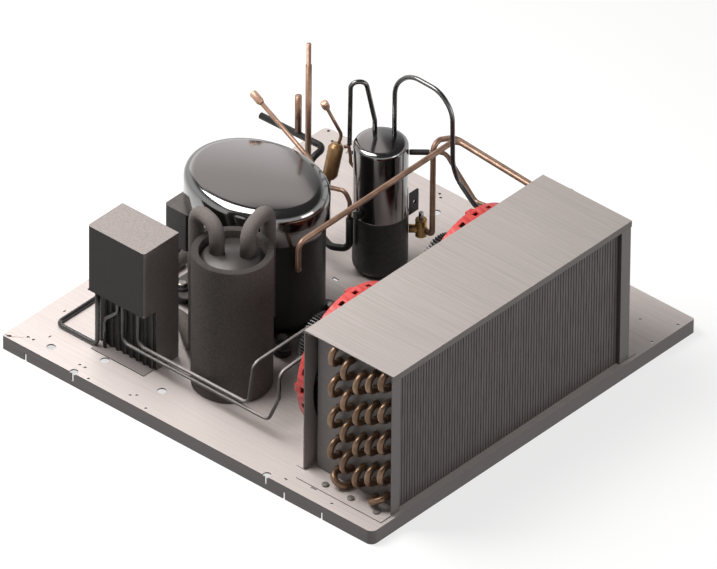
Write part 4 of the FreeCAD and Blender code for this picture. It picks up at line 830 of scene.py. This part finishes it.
dressed("service_caps", cap_copper, small_edge)
nipple_start = Vector((158, 33.6, 211)) * MM
nipple_aim = Vector((190, -3, 211)) * MM
nipple_sides = 24
nipple_radius = 4 * MM
nipple_length = 26 * MM
nipple_middle_mm = 14
nipple_along = (nipple_aim - nipple_start).normalized()
nipple = bmesh.new()
nipple_turn = nipple_along.to_track_quat("Z", "Y").to_matrix().to_4x4()
nipple_shift = Matrix.Translation(nipple_start + nipple_along * nipple_middle_mm * MM)
bmesh.ops.create_cone(nipple, segments=nipple_sides, cap_ends=True, radius1=nipple_radius,
                      radius2=nipple_radius, depth=nipple_length, matrix=nipple_shift @ nipple_turn)
show("receiver_nipple", nipple, cup_black, smooth=tube_smooth)

# Hoses and sleeved lines
# The switch's hose and the filling hose are thin and black; the liquid and suction lines run
# low over the tray in black sleeving.
sleeve_black = material_of("black_sleeving", tone(16, 16, 16), tone(26, 25, 25), (200, 200, 200), 0.24,
                           relief=0.00003, ior=2.1)
for hose in ("control_hose", "charging_hose"):
    dressed(hose, sleeve_black, smooth=pipe_smooth)
matt_sleeve = material_of("matt_sleeving", tone(18, 18, 17), tone(28, 27, 26), (200, 200, 200), 0.5,
                          relief=0.00005, specular=0.35)
for line in ("liquid_line", "suction_line"):
    dressed(line, matt_sleeve, smooth=pipe_smooth)

# Electrical box
# A box of textured dark sheet on a foot, ribbed in front, with a hood that slides off its
# upper half. The capacitor, relay and terminal block stand on its shelf.
# Painted light and shade: the paint's tone shows on the tops as painted light, upright faces are painted far
# darker, and faces towards the front nearly as light as the tops, against the accumulator's shadow.
for part, side_shade in (("body", 0.05), ("hood", 0.1)):
    box_paint = material_of("textured_%s_paint" % part, tone(126, 120, 118), tone(148, 141, 138),
                            (520, 520, 520), 0.55, relief=0.00008, specular=0.25)
    painted_side_shade(box_paint, side_shade, front=0.95)
    dressed("box_" + part, box_paint, smooth=0)
moulded_black = material_of("black_moulding", tone(24, 23, 23), tone(36, 34, 34), (240, 240, 240), 0.32,
                            relief=0.00004, specular=0.6)
capacitor_edge = 0.8 * MM
relay_edge = 0.6 * MM
dressed("start_capacitor", moulded_black, capacitor_edge)
dressed("start_relay", moulded_black, relay_edge)
block_grey = material_of("terminal_grey", tone(140, 140, 136), tone(158, 158, 152), (200, 200, 200), 0.5)
dressed("terminal_block", block_grey, small_edge)

# Pressure switch
# A grey moulded switch that the receiver's pressure works, through the control hose and a thin
# pipe. It is screwed to a folded bracket beside the right fan.
switch_grey = material_of("switch_grey", tone(120, 119, 116), tone(140, 138, 134), (150, 150, 150), 0.45,
                          relief=0.00004)
dressed("pressure_switch", switch_grey, soft_edge)

# Cables
# The compressor's lead, an earth lead and two fan leads leave the box's underside and run over
# the tray. The first two have black sheaths; all are slightly shiny. The fans' leads are painted light
# grey along their tops, a painted highlight, and are near black on their sides.
cable_black = material_of("cable_sheath", tone(30, 29, 29), tone(44, 42, 42), (200, 200, 200), 0.26,
                          relief=0.00004, specular=0.8)
dressed("power_cables", cable_black, smooth=pipe_smooth)
fan_cable_painted_highlight = material_of("fan_sheath_painted_highlight", tone(150, 145, 142), tone(176, 170, 167), (200, 200, 200), 0.3,
                         relief=0.00004, specular=0.6)
# Painted highlight: the fans' leads keep their light grey along the top and are painted near black on their
# sides.
painted_side_shade(fan_cable_painted_highlight, 0.05)
dressed("fan_cables", fan_cable_painted_highlight, smooth=pipe_smooth)
